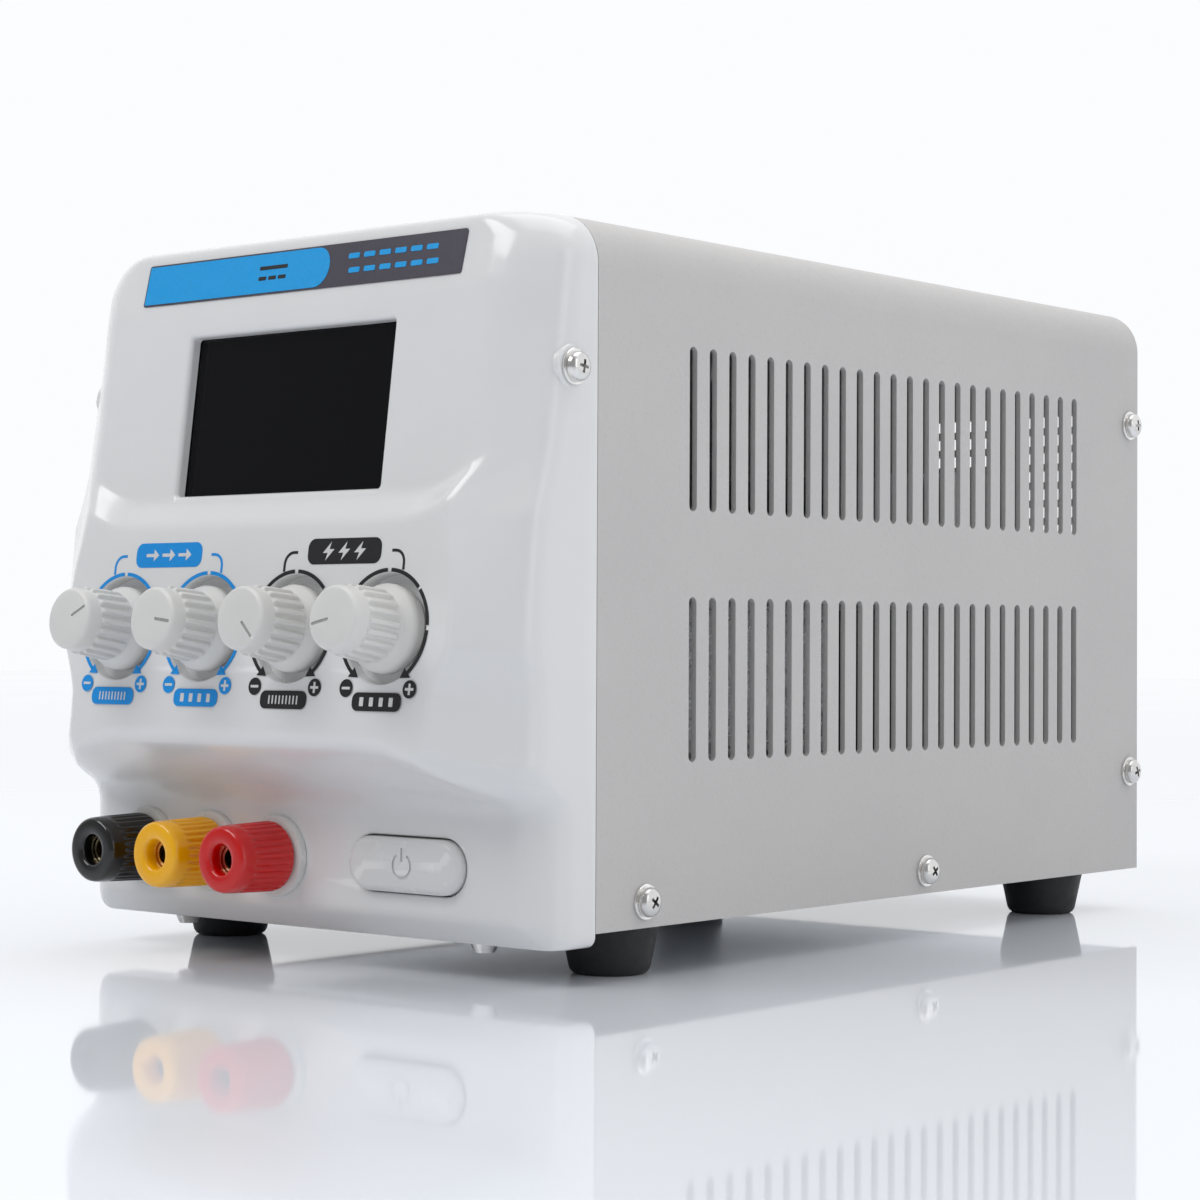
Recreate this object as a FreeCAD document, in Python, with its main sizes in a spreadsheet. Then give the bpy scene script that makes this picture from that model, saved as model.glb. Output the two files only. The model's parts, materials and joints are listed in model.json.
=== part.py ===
"""Bench power supply, built as an assembly of separate parts.

Frame: millimetres, +Z up, front towards -Y, +X to the right of a person facing the front.
The origin is the centre of the footprint, on the surface that the feet stand on.
"""
import FreeCAD, Part
import math
import os
import PartDesign
import Sketcher

Vector = FreeCAD.Vector

DRIVING = {
    # case
    "case_width": 131.0,
    "cover_length": 207.0,
    "cover_height": 136.0,
    "cover_radius": 10.0,
    "plate": 1.2,
    "foot_height": 9.7,
    "seam": -83.9,
    # ventilation slots in the sides of the cover
    "slot_pitch": 6.4,
    "slot_width": 2.4,
    "slot_length": 32.35,
    "slot_first": 29.2,
    "slot_low": 31.3,
    "slot_rise": 49.15,
    "slot_count": 24.0,
    # front moulding
    "wall": 2.6,
    "bezel_drop": 2.7,
    "terminal_depth": 14.1,
    "lip_depth": 31.3,
    "lip_height": 46.0,
    "shoulder_height": 87.4,
    "shoulder_depth": 25.5,
    "screen_foot": 92.6,
    "screen_depth": 21.5,
    "crease_height": 131.0,
    "crease_depth": 16.5,
    "brow_height": 142.0,
    "brow_depth": 13.9,
    # front fittings
    "knob_pitch": 24.85,
    "knob_height": 66.9,
    "well_radius": 10.5,
    "well_depth": 3.0,
    "shaft_radius": 3.0,
    "post_pitch": 19.3,
    "post_first": -44.15,
    "post_height": 21.5,
    "socket_radius": 2.0,
    "button_centre": 30.4,
    "button_length": 29.5,
    "button_tall": 10.6,
    "window_width": 57.6,
    "window_tall": 33.0,
    "window_middle": 111.1,
    "badge_width": 90.0,
    "badge_tall": 9.0,
    # fasteners
    "screw_radius": 1.5,
    "head_radius": 2.9,
    "head_height": 2.0,
    "washer_radius": 3.5,
    "washer_height": 0.6,
    "side_screw_low": 5.0,
    # feet
    "foot_top": 9.7,
    "foot_sole": 7.8,
    "foot_inset": 11.5,
    "foot_front": 18.0,
    "foot_rear": 26.0,
}

FREE = 0.3      # gap between neighbours that move past each other
FIT = 0.05      # radial running clearance of a shaft in its bore
TOUCH = 0.1     # gap between stacked sheet parts

document = FreeCAD.newDocument("bench_power_supply")
sheet = document.addObject("Spreadsheet::Sheet", "Sizes")
for row, (alias, number) in enumerate(DRIVING.items(), start=1):
    sheet.set(f"A{row}", alias)
    sheet.set(f"B{row}", str(number))
    sheet.setAlias(f"B{row}", alias)
document.recompute()

finished = []


class Size:
    """A length that knows its value and the sheet expression that gives it."""

    def __init__(self, value, text):
        self.value = value
        self.text = text

    def __add__(self, other):
        other = as_size(other)
        return Size(self.value + other.value, f"({self.text} + {other.text})")

    def __sub__(self, other):
        other = as_size(other)
        return Size(self.value - other.value, f"({self.text} - {other.text})")

    def __mul__(self, other):
        other = as_size(other)
        return Size(self.value * other.value, f"({self.text} * {other.text})")

    def __truediv__(self, other):
        other = as_size(other)
        return Size(self.value / other.value, f"({self.text} / {other.text})")

    def __neg__(self):
        return Size(-self.value, f"(-1 * {self.text})")

    def __radd__(self, other):
        return as_size(other) + self

    def __rsub__(self, other):
        return as_size(other) - self

    def __rmul__(self, other):
        return as_size(other) * self


def as_size(number):
    """A plain number becomes a Size with its own digits as the expression."""
    if isinstance(number, Size):
        return number
    return Size(float(number), f"{float(number):.6f}")


def cell(alias):
    """The Size that one cell of the sheet holds."""
    return Size(float(sheet.get(alias)), f"Sizes.{alias}")


# ---------------------------------------------------------------- derived sizes
half = cell("case_width") / 2
plate = cell("plate")
seam = cell("seam")
rear = seam + cell("cover_length")
cover_low = cell("foot_height")
cover_high = cover_low + cell("cover_height")
inner_half = half - plate
tray_low = cover_low + FREE
tray_high = tray_low + plate
tray_half = inner_half - TOUCH
bezel_low = cover_low - cell("bezel_drop")
panel_front = seam - cell("terminal_depth")
wall = cell("wall")
screw_radius = cell("screw_radius")
lean = math.degrees(math.atan((cell("lip_depth") - cell("shoulder_depth")).value
                              / (cell("shoulder_height") - cell("lip_height")).value))
screen_lean = math.degrees(math.atan((cell("screen_depth") - cell("crease_depth")).value
                                     / (cell("crease_height") - cell("screen_foot")).value))
brow_lean = math.degrees(math.atan((cell("crease_depth") - cell("brow_depth")).value
                                   / (cell("brow_height") - cell("crease_height")).value))

UP = FreeCAD.Rotation()
OUT = FreeCAD.Rotation(Vector(1, 0, 0), 90)
OUT_LEANING = FreeCAD.Rotation(Vector(1, 0, 0), 90 - lean)
REARWARD = FreeCAD.Rotation(Vector(1, 0, 0), -90)
RIGHTWARD = FreeCAD.Rotation(Vector(0, 1, 0), 90)
LEFTWARD = FreeCAD.Rotation(Vector(0, 1, 0), -90)


def depth_at(height, low, low_depth, high, high_depth):
    """Depth in front of the seam of the sloping front between two heights."""
    share = (height - low) / (high - low)
    return low_depth + share * (high_depth - low_depth)


# ---------------------------------------------------------------- building blocks
def bind(item, **sizes):
    """Tie named properties of an object to the sheet."""
    for name, size in sizes.items():
        item.setExpression(name, as_size(size).text)
    return item


def put(item, point, turn=UP):
    """Turn an object and tie its place to the sheet."""
    item.Placement = FreeCAD.Placement(Vector(0, 0, 0), turn)
    for axis, size in zip("xyz", point):
        item.setExpression(f"Placement.Base.{axis}", as_size(size).text)
    return item


def box(low, high):
    """Block between two opposite corners."""
    item = document.addObject("Part::Box", "Block")
    spans = [as_size(b) - as_size(a) for a, b in zip(low, high)]
    bind(item, Length=spans[0], Width=spans[1], Height=spans[2])
    return put(item, low)


def slab(width, tall, thick, centre, turn):
    """Block centred on a point, its thickness along the turned +Z."""
    item = document.addObject("Part::Box", "Slab")
    bind(item, Length=width, Width=tall, Height=thick)
    carrier = document.addObject("Part::Compound", "SlabFrame")
    carrier.Links = [put(item, (-1 * as_size(width) / 2, -1 * as_size(tall) / 2, 0))]
    return put(carrier, centre, turn)


def rod(radius, length, start, turn=UP):
    """Cylinder that starts at a point and runs along the turned +Z."""
    item = document.addObject("Part::Cylinder", "Rod")
    bind(item, Radius=radius, Height=length)
    return put(item, start, turn)


def taper(start_radius, end_radius, length, start, turn=UP):
    """Cone frustum that starts at a point and runs along the turned +Z."""
    item = document.addObject("Part::Cone", "Taper")
    bind(item, Radius1=start_radius, Radius2=end_radius, Height=length)
    return put(item, start, turn)


def hexagon(flats, length, start, turn=UP):
    """Six-sided nut blank."""
    item = document.addObject("Part::Prism", "Hexagon")
    item.Polygon = 6
    bind(item, Circumradius=as_size(flats) / math.sqrt(3), Height=length)
    return put(item, start, turn)


def join(*items):
    """One solid from several that meet."""
    if len(items) == 1:
        return items[0]
    item = document.addObject("Part::MultiFuse", "Joined")
    item.Shapes = list(items)
    item.Refine = True
    return item


def group(items):
    """Separate identical solids kept as one part."""
    item = document.addObject("Part::Compound", "Group")
    item.Links = list(items)
    return item


def cut(base, *tools):
    """Take the tools away from the base."""
    item = document.addObject("Part::Cut", "Cut")
    item.Base = base
    item.Tool = group(tools) if len(tools) > 1 else tools[0]
    item.Refine = True
    return item


def name(item, label):
    """Give a finished part its label."""
    item.Label = label
    finished.append(item)
    return item


def new_body(title):
    """Empty PartDesign body."""
    return document.addObject("PartDesign::Body", title)


def origin_plane(body, role):
    """One of the body's own origin planes."""
    return next(part for part in body.Origin.OriginFeatures if part.Role == role)


def new_sketch(body, role):
    """Sketch on one of the body's origin planes."""
    sketch = body.newObject("Sketcher::SketchObject", "Outline")
    sketch.AttachmentSupport = [(origin_plane(body, role), "")]
    sketch.MapMode = "FlatFace"
    return sketch


def fix_point(sketch, index, end, point):
    """Tie one end of a sketch edge to the sheet, as distances from the sketch origin."""
    for kind, size in zip(("DistanceX", "DistanceY"), point):
        size = as_size(size)
        number = sketch.addConstraint(Sketcher.Constraint(kind, -1, 1, index, end, size.value))
        sketch.setExpression(f"Constraints[{number}]", size.text)


def polygon(sketch, points):
    """Closed outline of straight edges through points tied to the sheet."""
    places = [Vector(as_size(a).value, as_size(b).value, 0) for a, b in points]
    count = len(points)
    first = sketch.GeometryCount
    for number in range(count):
        sketch.addGeometry(Part.LineSegment(places[number], places[(number + 1) % count]), False)
    for number in range(count):
        following = first + (number + 1) % count
        sketch.addConstraint(Sketcher.Constraint("Coincident", first + number, 2, following, 1))
    for number in range(count):
        fix_point(sketch, first + number, 1, points[number])


def circle(sketch, centre, radius):
    """Circle tied to the sheet."""
    place = Vector(as_size(centre[0]).value, as_size(centre[1]).value, 0)
    index = sketch.addGeometry(Part.Circle(place, Vector(0, 0, 1), as_size(radius).value), False)
    fix_point(sketch, index, 3, centre)
    number = sketch.addConstraint(Sketcher.Constraint("Radius", index, as_size(radius).value))
    sketch.setExpression(f"Constraints[{number}]", as_size(radius).text)


def obround(sketch, centre, length, width, upright):
    """Slot outline with round ends, tied to the sheet; its two arcs run anticlockwise."""
    reach = (as_size(length) - width) / 2
    radius = as_size(width) / 2
    along, across, hand = ((0, 1), (1, 0), 1) if upright else ((1, 0), (0, 1), -1)
    first = sketch.GeometryCount
    for sign in (1, -1):
        middle = [centre[axis] + sign * along[axis] * reach for axis in (0, 1)]
        corners = [[middle[axis] + side * across[axis] * radius for axis in (0, 1)]
                   for side in (sign * hand, -sign * hand)]
        places = [Vector(spot[0].value, spot[1].value, 0) for spot in corners]
        tip = Vector(middle[0].value, middle[1].value, 0) + Vector(*along, 0) * (sign * radius.value)
        index = sketch.addGeometry(Part.Arc(places[0], tip, places[1]), False)
        fix_point(sketch, index, 1, corners[0])
        fix_point(sketch, index, 2, corners[1])
        kind, level = ("DistanceY", middle[1]) if upright else ("DistanceX", middle[0])
        number = sketch.addConstraint(Sketcher.Constraint(kind, -1, 1, index, 3, level.value))
        sketch.setExpression(f"Constraints[{number}]", level.text)
    for arc, other in ((first, first + 1), (first + 1, first)):
        start = sketch.getPoint(arc, 2)
        line = sketch.addGeometry(Part.LineSegment(start, sketch.getPoint(other, 1)), False)
        sketch.addConstraint(Sketcher.Constraint("Coincident", line, 1, arc, 2))
        sketch.addConstraint(Sketcher.Constraint("Coincident", line, 2, other, 1))


def pad(body, sketch, length, both_ways=False):
    """Pad a sketch along its normal."""
    feature = body.newObject("PartDesign::Pad", "Pad")
    feature.Profile = sketch
    feature.SideType = "Symmetric" if both_ways else "One side"
    return bind(feature, Length=length)


def pocket(body, sketch, length):
    """Cut a sketch symmetrically through the solid."""
    feature = body.newObject("PartDesign::Pocket", "Pocket")
    feature.Profile = sketch
    feature.SideType = "Symmetric"
    return bind(feature, Length=length)


def repeat(body, feature, axis, span, count):
    """Repeat a feature along a sketch axis; the last copy lies span away."""
    pattern = body.newObject("PartDesign::LinearPattern", "Row")
    pattern.Originals = [feature]
    pattern.Direction = (feature.Profile[0], [axis])
    pattern.Occurrences = int(as_size(count).value)
    bind(pattern, Length=span)
    body.Tip = pattern
    return pattern


def turned(points, centre, turn, label=None):
    """Solid of revolution about the turned +Z; points are (radius, height)."""
    body = new_body("Turned")
    sketch = new_sketch(body, "XZ_Plane")
    polygon(sketch, points)
    feature = body.newObject("PartDesign::Revolution", "Revolution")
    feature.Profile = sketch
    feature.ReferenceAxis = (sketch, ["V_Axis"])
    feature.Angle = 360.0
    put(body, centre, turn)
    return name(body, label) if label else body


# ---------------------------------------------------------------- steel case
side_screws = [(seam + 14.7, cover_low + cell("side_screw_low")),
               (seam + 112.7, cover_low + cell("side_screw_low")),
               (rear - 4.2, cover_low + 23.7),
               (rear - 4.2, cover_low + 108.0)]
bezel_screw = (seam - 7.1, cover_low + 106.0)
feet_places = [(sign * (half - cell("foot_inset")), place)
               for place in (seam + cell("foot_front"), rear - cell("foot_rear"))
               for sign in (-1, 1)]
post_places = [cell("post_first") + number * cell("post_pitch") for number in range(3)]
knob_places = [(number - 1.5) * cell("knob_pitch") for number in range(4)]
SWITCH_FRONT = panel_front + 13.5
board_low = tray_high + 7.0
board_front = rear - 93.0
board_rear = rear - 20.0
board_posts = [(-46.0, board_front + 5), (55.0, board_front + 5), (-46.0, board_rear - 5), (46.0, board_rear - 5)]


def make_top_cover():
    """Folded sheet cover: top and both sides in one piece, with two rows of slots a side."""
    body = new_body("TopCover")
    sketch = new_sketch(body, "XZ_Plane")
    polygon(sketch, [(-half, cover_low), (half, cover_low), (half, cover_high), (-half, cover_high)])
    block = pad(body, sketch, cell("cover_length"))
    block.Reversed = True
    inside = new_sketch(body, "XZ_Plane")
    polygon(inside, [(-inner_half, cover_low - 1), (inner_half, cover_low - 1),
                     (inner_half, cover_high - plate), (-inner_half, cover_high - plate)])
    feature = pocket(body, inside, 3 * cell("cover_length"))
    for title, height, radius in (("InnerBends", cover_high - plate, cell("cover_radius") - plate),
                                  ("OuterBends", cover_high, cell("cover_radius"))):
        document.recompute()
        bends = body.newObject("PartDesign::Fillet", title)
        bends.Base = (feature, long_edges(feature.Shape, height.value))
        feature = bind(bends, Radius=radius)
    document.recompute()
    for level in (cell("slot_low"), cell("slot_low") + cell("slot_rise")):
        slot = new_sketch(body, "YZ_Plane")
        middle = cover_low + level + cell("slot_length") / 2
        obround(slot, (cell("slot_first"), middle), cell("slot_length"), cell("slot_width"), True)
        opening = pocket(body, slot, 2 * cell("case_width"))
        document.recompute()
        repeat(body, opening, "H_Axis", (cell("slot_count") - 1) * cell("slot_pitch"),
               cell("slot_count"))
    for place, height in side_screws:
        hole = new_sketch(body, "YZ_Plane")
        circle(hole, (place - seam, height), screw_radius)
        pocket(body, hole, 2 * cell("case_width"))
    name(put(body, (0, seam, 0)), "top_cover")


def long_edges(shape, height):
    """Names of the edges that run front to back at one height."""
    found = []
    for number, edge in enumerate(shape.Edges, start=1):
        box_of_edge = edge.BoundBox
        if box_of_edge.YLength > 50 and abs(box_of_edge.ZMin - height) < 0.01 and box_of_edge.ZLength < 0.01:
            found.append(f"Edge{number}")
    return found


def make_base_tray():
    """Folded floor with side flanges, foot holes and a field of vent slots between the front feet."""
    flange_high = tray_high + 12
    floor = box((-tray_half, seam + 0.4, tray_low), (tray_half, rear - 3.2, tray_high))
    flanges = [box(sorted_pair(sign * tray_half, sign * (tray_half - plate))[0:1] + [seam + 0.4, tray_low],
                   sorted_pair(sign * tray_half, sign * (tray_half - plate))[1:2] + [rear - 3.2, flange_high])
               for sign in (-1, 1)]
    front_tab = box((-50, seam + 0.4, tray_low), (50, seam + 0.4 + plate, tray_high + 1.5))
    holes = [rod(screw_radius, 10, (x, y, tray_low - 5)) for x, y in feet_places]
    holes += [rod(screw_radius, 4 * half, (-2 * half, y, z), RIGHTWARD) for y, z in side_screws[:2]]
    holes += [rod(screw_radius, 10, (x, y, tray_low - 5)) for x, y in board_posts]
    vents = [box(((number - 7) * 4.4 - 1.0, seam + 22, tray_low - 2),
                 ((number - 7) * 4.4 + 1.0, seam + 42, tray_high + 2)) for number in range(15)]
    name(cut(join(floor, front_tab, *flanges), *holes, *vents), "base_tray")


def sorted_pair(first, second):
    """Two sizes, the smaller first."""
    return [first, second] if first.value < second.value else [second, first]


def make_rear_panel():
    """Rear sheet with two columns of vent holes, the inlet opening and side tabs for its screws."""
    back = rear - 1.5
    low = tray_low
    body = new_body("RearSheet")
    sketch = new_sketch(body, "XZ_Plane")
    edge = tray_half
    high = cover_high - plate - TOUCH
    chamfer = cell("cover_radius") - plate
    nick = chamfer * 0.3
    polygon(sketch, [(-edge, low), (edge, low), (edge, high - chamfer), (edge - nick, high - nick),
                     (edge - chamfer, high), (chamfer - edge, high), (nick - edge, high - nick),
                     (-edge, high - chamfer)])
    pad(body, sketch, plate)
    document.recompute()
    for column in (17.9, 44.6):
        vent = new_sketch(body, "XZ_Plane")
        obround(vent, (as_size(column), cover_low + 83.0), 19.0, 2.7, False)
        opening = pocket(body, vent, 10)
        document.recompute()
        repeat(body, opening, "V_Axis", 27.0, 7)
    put(body, (0, back, 0))
    tabs = []
    for sign in (-1, 1):
        for _, height in side_screws[2:]:
            xs = sorted_pair(sign * tray_half, sign * (tray_half - plate))
            tabs.append(box((xs[0], rear - 11, height - 7), (xs[1], back, height + 7)))
    floor_tab = box((-45, rear - 12, tray_high), (45, back, tray_high + plate))
    holes = [rod(screw_radius, 4 * half, (-2 * half, y, z), RIGHTWARD) for y, z in side_screws[2:]]
    inlet_hole = box((INLET_X - 14.2, rear - 8, INLET_Z - 10.2), (INLET_X + 14.2, rear + 5, INLET_Z + 10.2))
    holes += [rod(screw_radius, 12, (INLET_X + sign * 20, rear + 4, INLET_Z), OUT) for sign in (-1, 1)]
    fuse_hole = rod(6.1, 20, (FUSE_X, rear - 10, INLET_Z), REARWARD)
    sink_holes = [rod(screw_radius, 12, (x, rear + 4, SINK_SCREW_HIGH), OUT) for x in SINK_SCREWS]
    name(cut(join(body, floor_tab, *tabs), inlet_hole, fuse_hole, *holes, *sink_holes), "rear_panel")


def make_front_plate():
    """Steel frame behind the moulding, with forward ears for the moulding's side screws."""
    front = seam + 0.4
    outer_z = (tray_high + 0.2, cover_high - wall - FREE)
    reach = half - wall - FREE
    frame = box((-reach, front - plate, outer_z[0]), (reach, front, outer_z[1]))
    window = box((-55, front - 10, outer_z[0] + 1.5), (55, front + 10, outer_z[1] - 12))
    upper_corners = [box((sign * reach - 7, front - 5, outer_z[1] - 7),
                         (sign * reach + 7, front + 5, outer_z[1] + 5)) for sign in (-1, 1)]
    ear_outer = half - wall - TOUCH
    ears = []
    for sign in (-1, 1):
        xs = sorted_pair(sign * ear_outer, sign * (ear_outer - plate))
        ears.append(box((xs[0], bezel_screw[0] - 3.0, bezel_screw[1] - 6),
                        (xs[1], front - plate, bezel_screw[1] + 6)))
        xs = sorted_pair(sign * ear_outer, sign * (ear_outer - 6))
        ears.append(box((xs[0], front - plate, bezel_screw[1] - 6), (xs[1], front, bezel_screw[1] + 6)))
    holes = rod(screw_radius, 4 * half, (-2 * half, bezel_screw[0], bezel_screw[1]), RIGHTWARD)
    arm_low = outer_z[0] + 0.3
    arm_x = (cell("button_centre") - 15, cell("button_centre") + 15)
    arm = box((arm_x[0], SWITCH_FRONT - plate, arm_low), (arm_x[1], front, arm_low + plate))
    upright = box((arm_x[0], SWITCH_FRONT - plate, arm_low), (arm_x[1], SWITCH_FRONT, cell("post_height") + 9))
    switch_hole = box((cell("button_centre") - 3.4, SWITCH_FRONT - 5, cell("post_height") - 3.4),
                      (cell("button_centre") + 3.4, SWITCH_FRONT + 5, cell("post_height") + 3.4))
    frame = cut(join(frame, *ears), window, holes, *upper_corners)
    name(cut(join(frame, arm, upright), switch_hole), "front_plate")


# ---------------------------------------------------------------- front moulding
def bezel_section(height, depth, blend_x, blend_y, inset, back):
    """Horizontal outline of the moulding: straight front, elliptical blends into straight sides."""
    side = half.value - inset
    front = seam.value - depth + inset
    run_x = max(blend_x - inset, 1.0)
    run_y = max(blend_y - inset, 1.0)
    turn = math.sqrt(0.5)
    right_mid = Vector(side - run_x + run_x * turn, front + run_y - run_y * turn, height)
    left_mid = Vector(-right_mid.x, right_mid.y, height)
    right_side = Vector(side, front + run_y, height)
    left_side = Vector(-side, front + run_y, height)
    right_front = Vector(side - run_x, front, height)
    left_front = Vector(run_x - side, front, height)
    arcs = []
    for start, middle, end in ((right_side, right_mid, right_front), (left_front, left_mid, left_side)):
        curve = Part.BSplineCurve()
        curve.interpolate([start, middle, end])
        arcs.append(curve.toShape())
    back_left = Vector(-side, back, height)
    back_right = Vector(side, back, height)
    return Part.Wire([Part.makeLine(back_right, right_side), arcs[0], Part.makeLine(right_front, left_front),
                      arcs[1], Part.makeLine(left_side, back_left), Part.makeLine(back_left, back_right)])


def bezel_form(inset, back):
    """Solid form of the moulding, or of its hollow when inset by the wall."""
    lift = 0.75 * inset
    shelf = bezel_low.value + 28.0
    levels = [
        (bezel_low.value + inset, cell("terminal_depth").value - 3.6, 6, 6),
        (bezel_low.value + 4.5 + 0.3 * inset, cell("terminal_depth").value, 9, 9),
        (shelf + lift, cell("terminal_depth").value, 9, 9),
        (cell("lip_height").value - 2.5 + lift, cell("lip_depth").value - 0.6, 24, 20),
        (cell("lip_height").value + 1.5 + lift, cell("lip_depth").value - 0.2, 24, 20.7),
        (cell("shoulder_height").value - 0.3 * inset, cell("shoulder_depth").value, 24, 15),
        (cell("screen_foot").value - 0.3 * inset, cell("screen_depth").value, 20, 11),
        (cell("crease_height").value, cell("crease_depth").value, 20, 6),
        (cell("brow_height").value - 0.3 * inset, cell("brow_depth").value, 18, 5),
        (cover_high.value - inset, cell("brow_depth").value - 2.9, 16, 4),
    ]
    sections = [bezel_section(height, depth, run_x, run_y, inset, back)
                for height, depth, run_x, run_y in levels]
    return Part.makeLoft(sections, True, True)


def rounded_outline(inset, back, reach):
    """Prism along Y with the moulding's rounded front-view outline."""
    side = half.value - inset
    low = bezel_low.value + inset
    high = cover_high.value - inset
    block = Part.makeBox(2 * side, reach + back - seam.value, high - low,
                         Vector(-side, seam.value - reach, low))
    along = [edge for edge in block.Edges if edge.BoundBox.YLength > 1]
    upper = [edge for edge in along if edge.BoundBox.ZMin > (low + high) / 2]
    block = block.makeFillet(cell("cover_radius").value - inset, upper)
    lower = [edge for edge in block.Edges if edge.BoundBox.YLength > 1
             and edge.BoundBox.ZMax < low + 0.01 and edge.BoundBox.XLength < 0.01]
    return block.makeFillet(max(4.0 - inset, 1.0), lower)


def rest_point(height, out=0.0):
    """Point on the leaning control panel at a height, moved out along its normal."""
    depth = depth_at(height, cell("lip_height").value, cell("lip_depth").value,
                     cell("shoulder_height").value, cell("shoulder_depth").value)
    turn = math.radians(lean)
    return Vector(0, seam.value - depth - out * math.cos(turn), height + out * math.sin(turn))


KNOB_FACE = rest_point(cell("knob_height").value)
OUT_AXIS = Vector(0, -math.cos(math.radians(lean)), math.sin(math.radians(lean)))
KNOB_DEPTH = cell("lip_depth") + (cell("knob_height") - cell("lip_height")) * (
    (cell("shoulder_depth") - cell("lip_depth")) / (cell("shoulder_height") - cell("lip_height")))
WINDOW_DEPTH = cell("screen_depth") + (cell("window_middle") - cell("screen_foot")) * (
    (cell("crease_depth") - cell("screen_depth")) / (cell("crease_height") - cell("screen_foot")))
BADGE_HEIGHT = cell("crease_height") + 7.2
BADGE_DEPTH = cell("crease_depth") + 7.2 * (
    (cell("brow_depth") - cell("crease_depth")) / (cell("brow_height") - cell("crease_height")))


def on_panel(x, out=0.0):
    """Place on a knob's axis, a distance out from the control panel."""
    return (x, seam - KNOB_DEPTH - out * math.cos(math.radians(lean)),
            cell("knob_height") + out * math.sin(math.radians(lean)))


def on_tilt(depth, height, degrees, out=0.0):
    """Place on a sloping face in the middle plane, moved out along its normal."""
    turn = math.radians(degrees)
    return (0, seam - depth - out * math.cos(turn), height + out * math.sin(turn))


def make_front_bezel():
    """Glossy moulded front: hollow, open at the back, with wells, window and terminal openings."""
    back = seam.value + 30
    form = bezel_form(0.0, back).common(rounded_outline(0.0, back, 60.0))
    hollow = bezel_form(wall.value, back + 5).common(rounded_outline(wall.value, back + 5, 60.0))
    behind = Part.makeBox(400, 100, 400, Vector(-200, seam.value, -100))
    shell = form.cut(behind).cut(hollow)
    cavity = form.cut(behind)
    for place in knob_places:
        centre = KNOB_FACE + Vector(place.value, 0, 0)
        boss = Part.makeCylinder(cell("well_radius").value + 1.8, 5.0, centre - OUT_AXIS * 5.0, OUT_AXIS)
        shell = shell.fuse(boss.common(cavity))
    cuts = []
    for place in knob_places:
        centre = KNOB_FACE + Vector(place.value, 0, 0)
        well_depth = cell("well_depth").value
        cuts.append(Part.makeCylinder(cell("well_radius").value, 10, centre - OUT_AXIS * well_depth, OUT_AXIS))
        cuts.append(Part.makeCylinder(3.5, 12, centre - OUT_AXIS * 8, OUT_AXIS))
    window = Part.makeBox(cell("window_width").value, cell("window_tall").value, 20,
                          Vector(-cell("window_width").value / 2, -cell("window_tall").value / 2, -10))
    centre = [as_size(part).value for part in on_tilt(WINDOW_DEPTH, cell("window_middle"), screen_lean)]
    window.Placement = FreeCAD.Placement(Vector(*centre), FreeCAD.Rotation(Vector(1, 0, 0), 90 - screen_lean))
    cuts.append(window)
    for place in post_places:
        start = Vector(place.value, panel_front.value - 5, cell("post_height").value)
        cuts.append(Part.makeCylinder(4.0, 12, start, Vector(0, 1, 0)))
    cuts.append(stadium_solid(cell("button_length").value + 2 * FREE, cell("button_tall").value + 2 * FREE,
                              panel_front.value - 5, 12))
    side_hole = Part.makeCylinder(screw_radius.value, 400,
                                  Vector(-200, bezel_screw[0].value, bezel_screw[1].value), Vector(1, 0, 0))
    cuts.append(side_hole)
    for x in UNDER_SCREWS:
        cuts.append(Part.makeCylinder(screw_radius.value, 8, Vector(x, seam.value - 5, bezel_low.value - 2)))
    for tool in cuts:
        shell = shell.cut(tool)
    item = document.addObject("Part::Feature", "FrontBezel")
    item.Shape = shell.removeSplitter()
    item.Placement = FreeCAD.Placement()
    name(item, "front_bezel")


def stadium_solid(length, tall, start, run):
    """Bar with round ends that runs front to back, centred on the power button."""
    centre = Vector(cell("button_centre").value, start, cell("post_height").value)
    reach = (length - tall) / 2
    bar = Part.makeBox(2 * reach, run, tall, centre - Vector(reach, 0, tall / 2))
    for sign in (-1, 1):
        bar = bar.fuse(Part.makeCylinder(tall / 2, run, centre + Vector(sign * reach, 0, 0), Vector(0, 1, 0)))
    return bar.removeSplitter()


# ---------------------------------------------------------------- screen and label
def make_display():
    """Window pane behind the moulding, and the display module with its board."""
    turn = FreeCAD.Rotation(Vector(1, 0, 0), 90 - screen_lean)
    pane_out = -wall * 1.0 - 1.7
    place = on_tilt(WINDOW_DEPTH, cell("window_middle"), screen_lean, pane_out)
    name(slab(cell("window_width") + 3.0, cell("window_tall") + 3.0, 1.5, place, turn), "display_window")
    place = on_tilt(WINDOW_DEPTH, cell("window_middle"), screen_lean, pane_out - 4.2)
    screen = slab(cell("window_width") + 2.0, cell("window_tall") + 3.0, 4.1, place, turn)
    place = on_tilt(WINDOW_DEPTH, cell("window_middle"), screen_lean, pane_out - 5.8)
    board = slab(cell("window_width") + 14.0, cell("window_tall") + 7.0, 1.6, place, turn)
    name(join(screen, board), "display_module")


def make_nameplate():
    """Thin plate stuck to the brow of the moulding."""
    turn = FreeCAD.Rotation(Vector(1, 0, 0), 90 - brow_lean)
    place = on_tilt(BADGE_DEPTH, BADGE_HEIGHT, brow_lean, 0.0)
    name(slab(cell("badge_width"), cell("badge_tall"), 0.4, place, turn), "nameplate")


# ---------------------------------------------------------------- controls
CONTROLS = ("current_fine", "current_coarse", "voltage_fine", "voltage_coarse")
KNOB_REACH = 13.7


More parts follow.
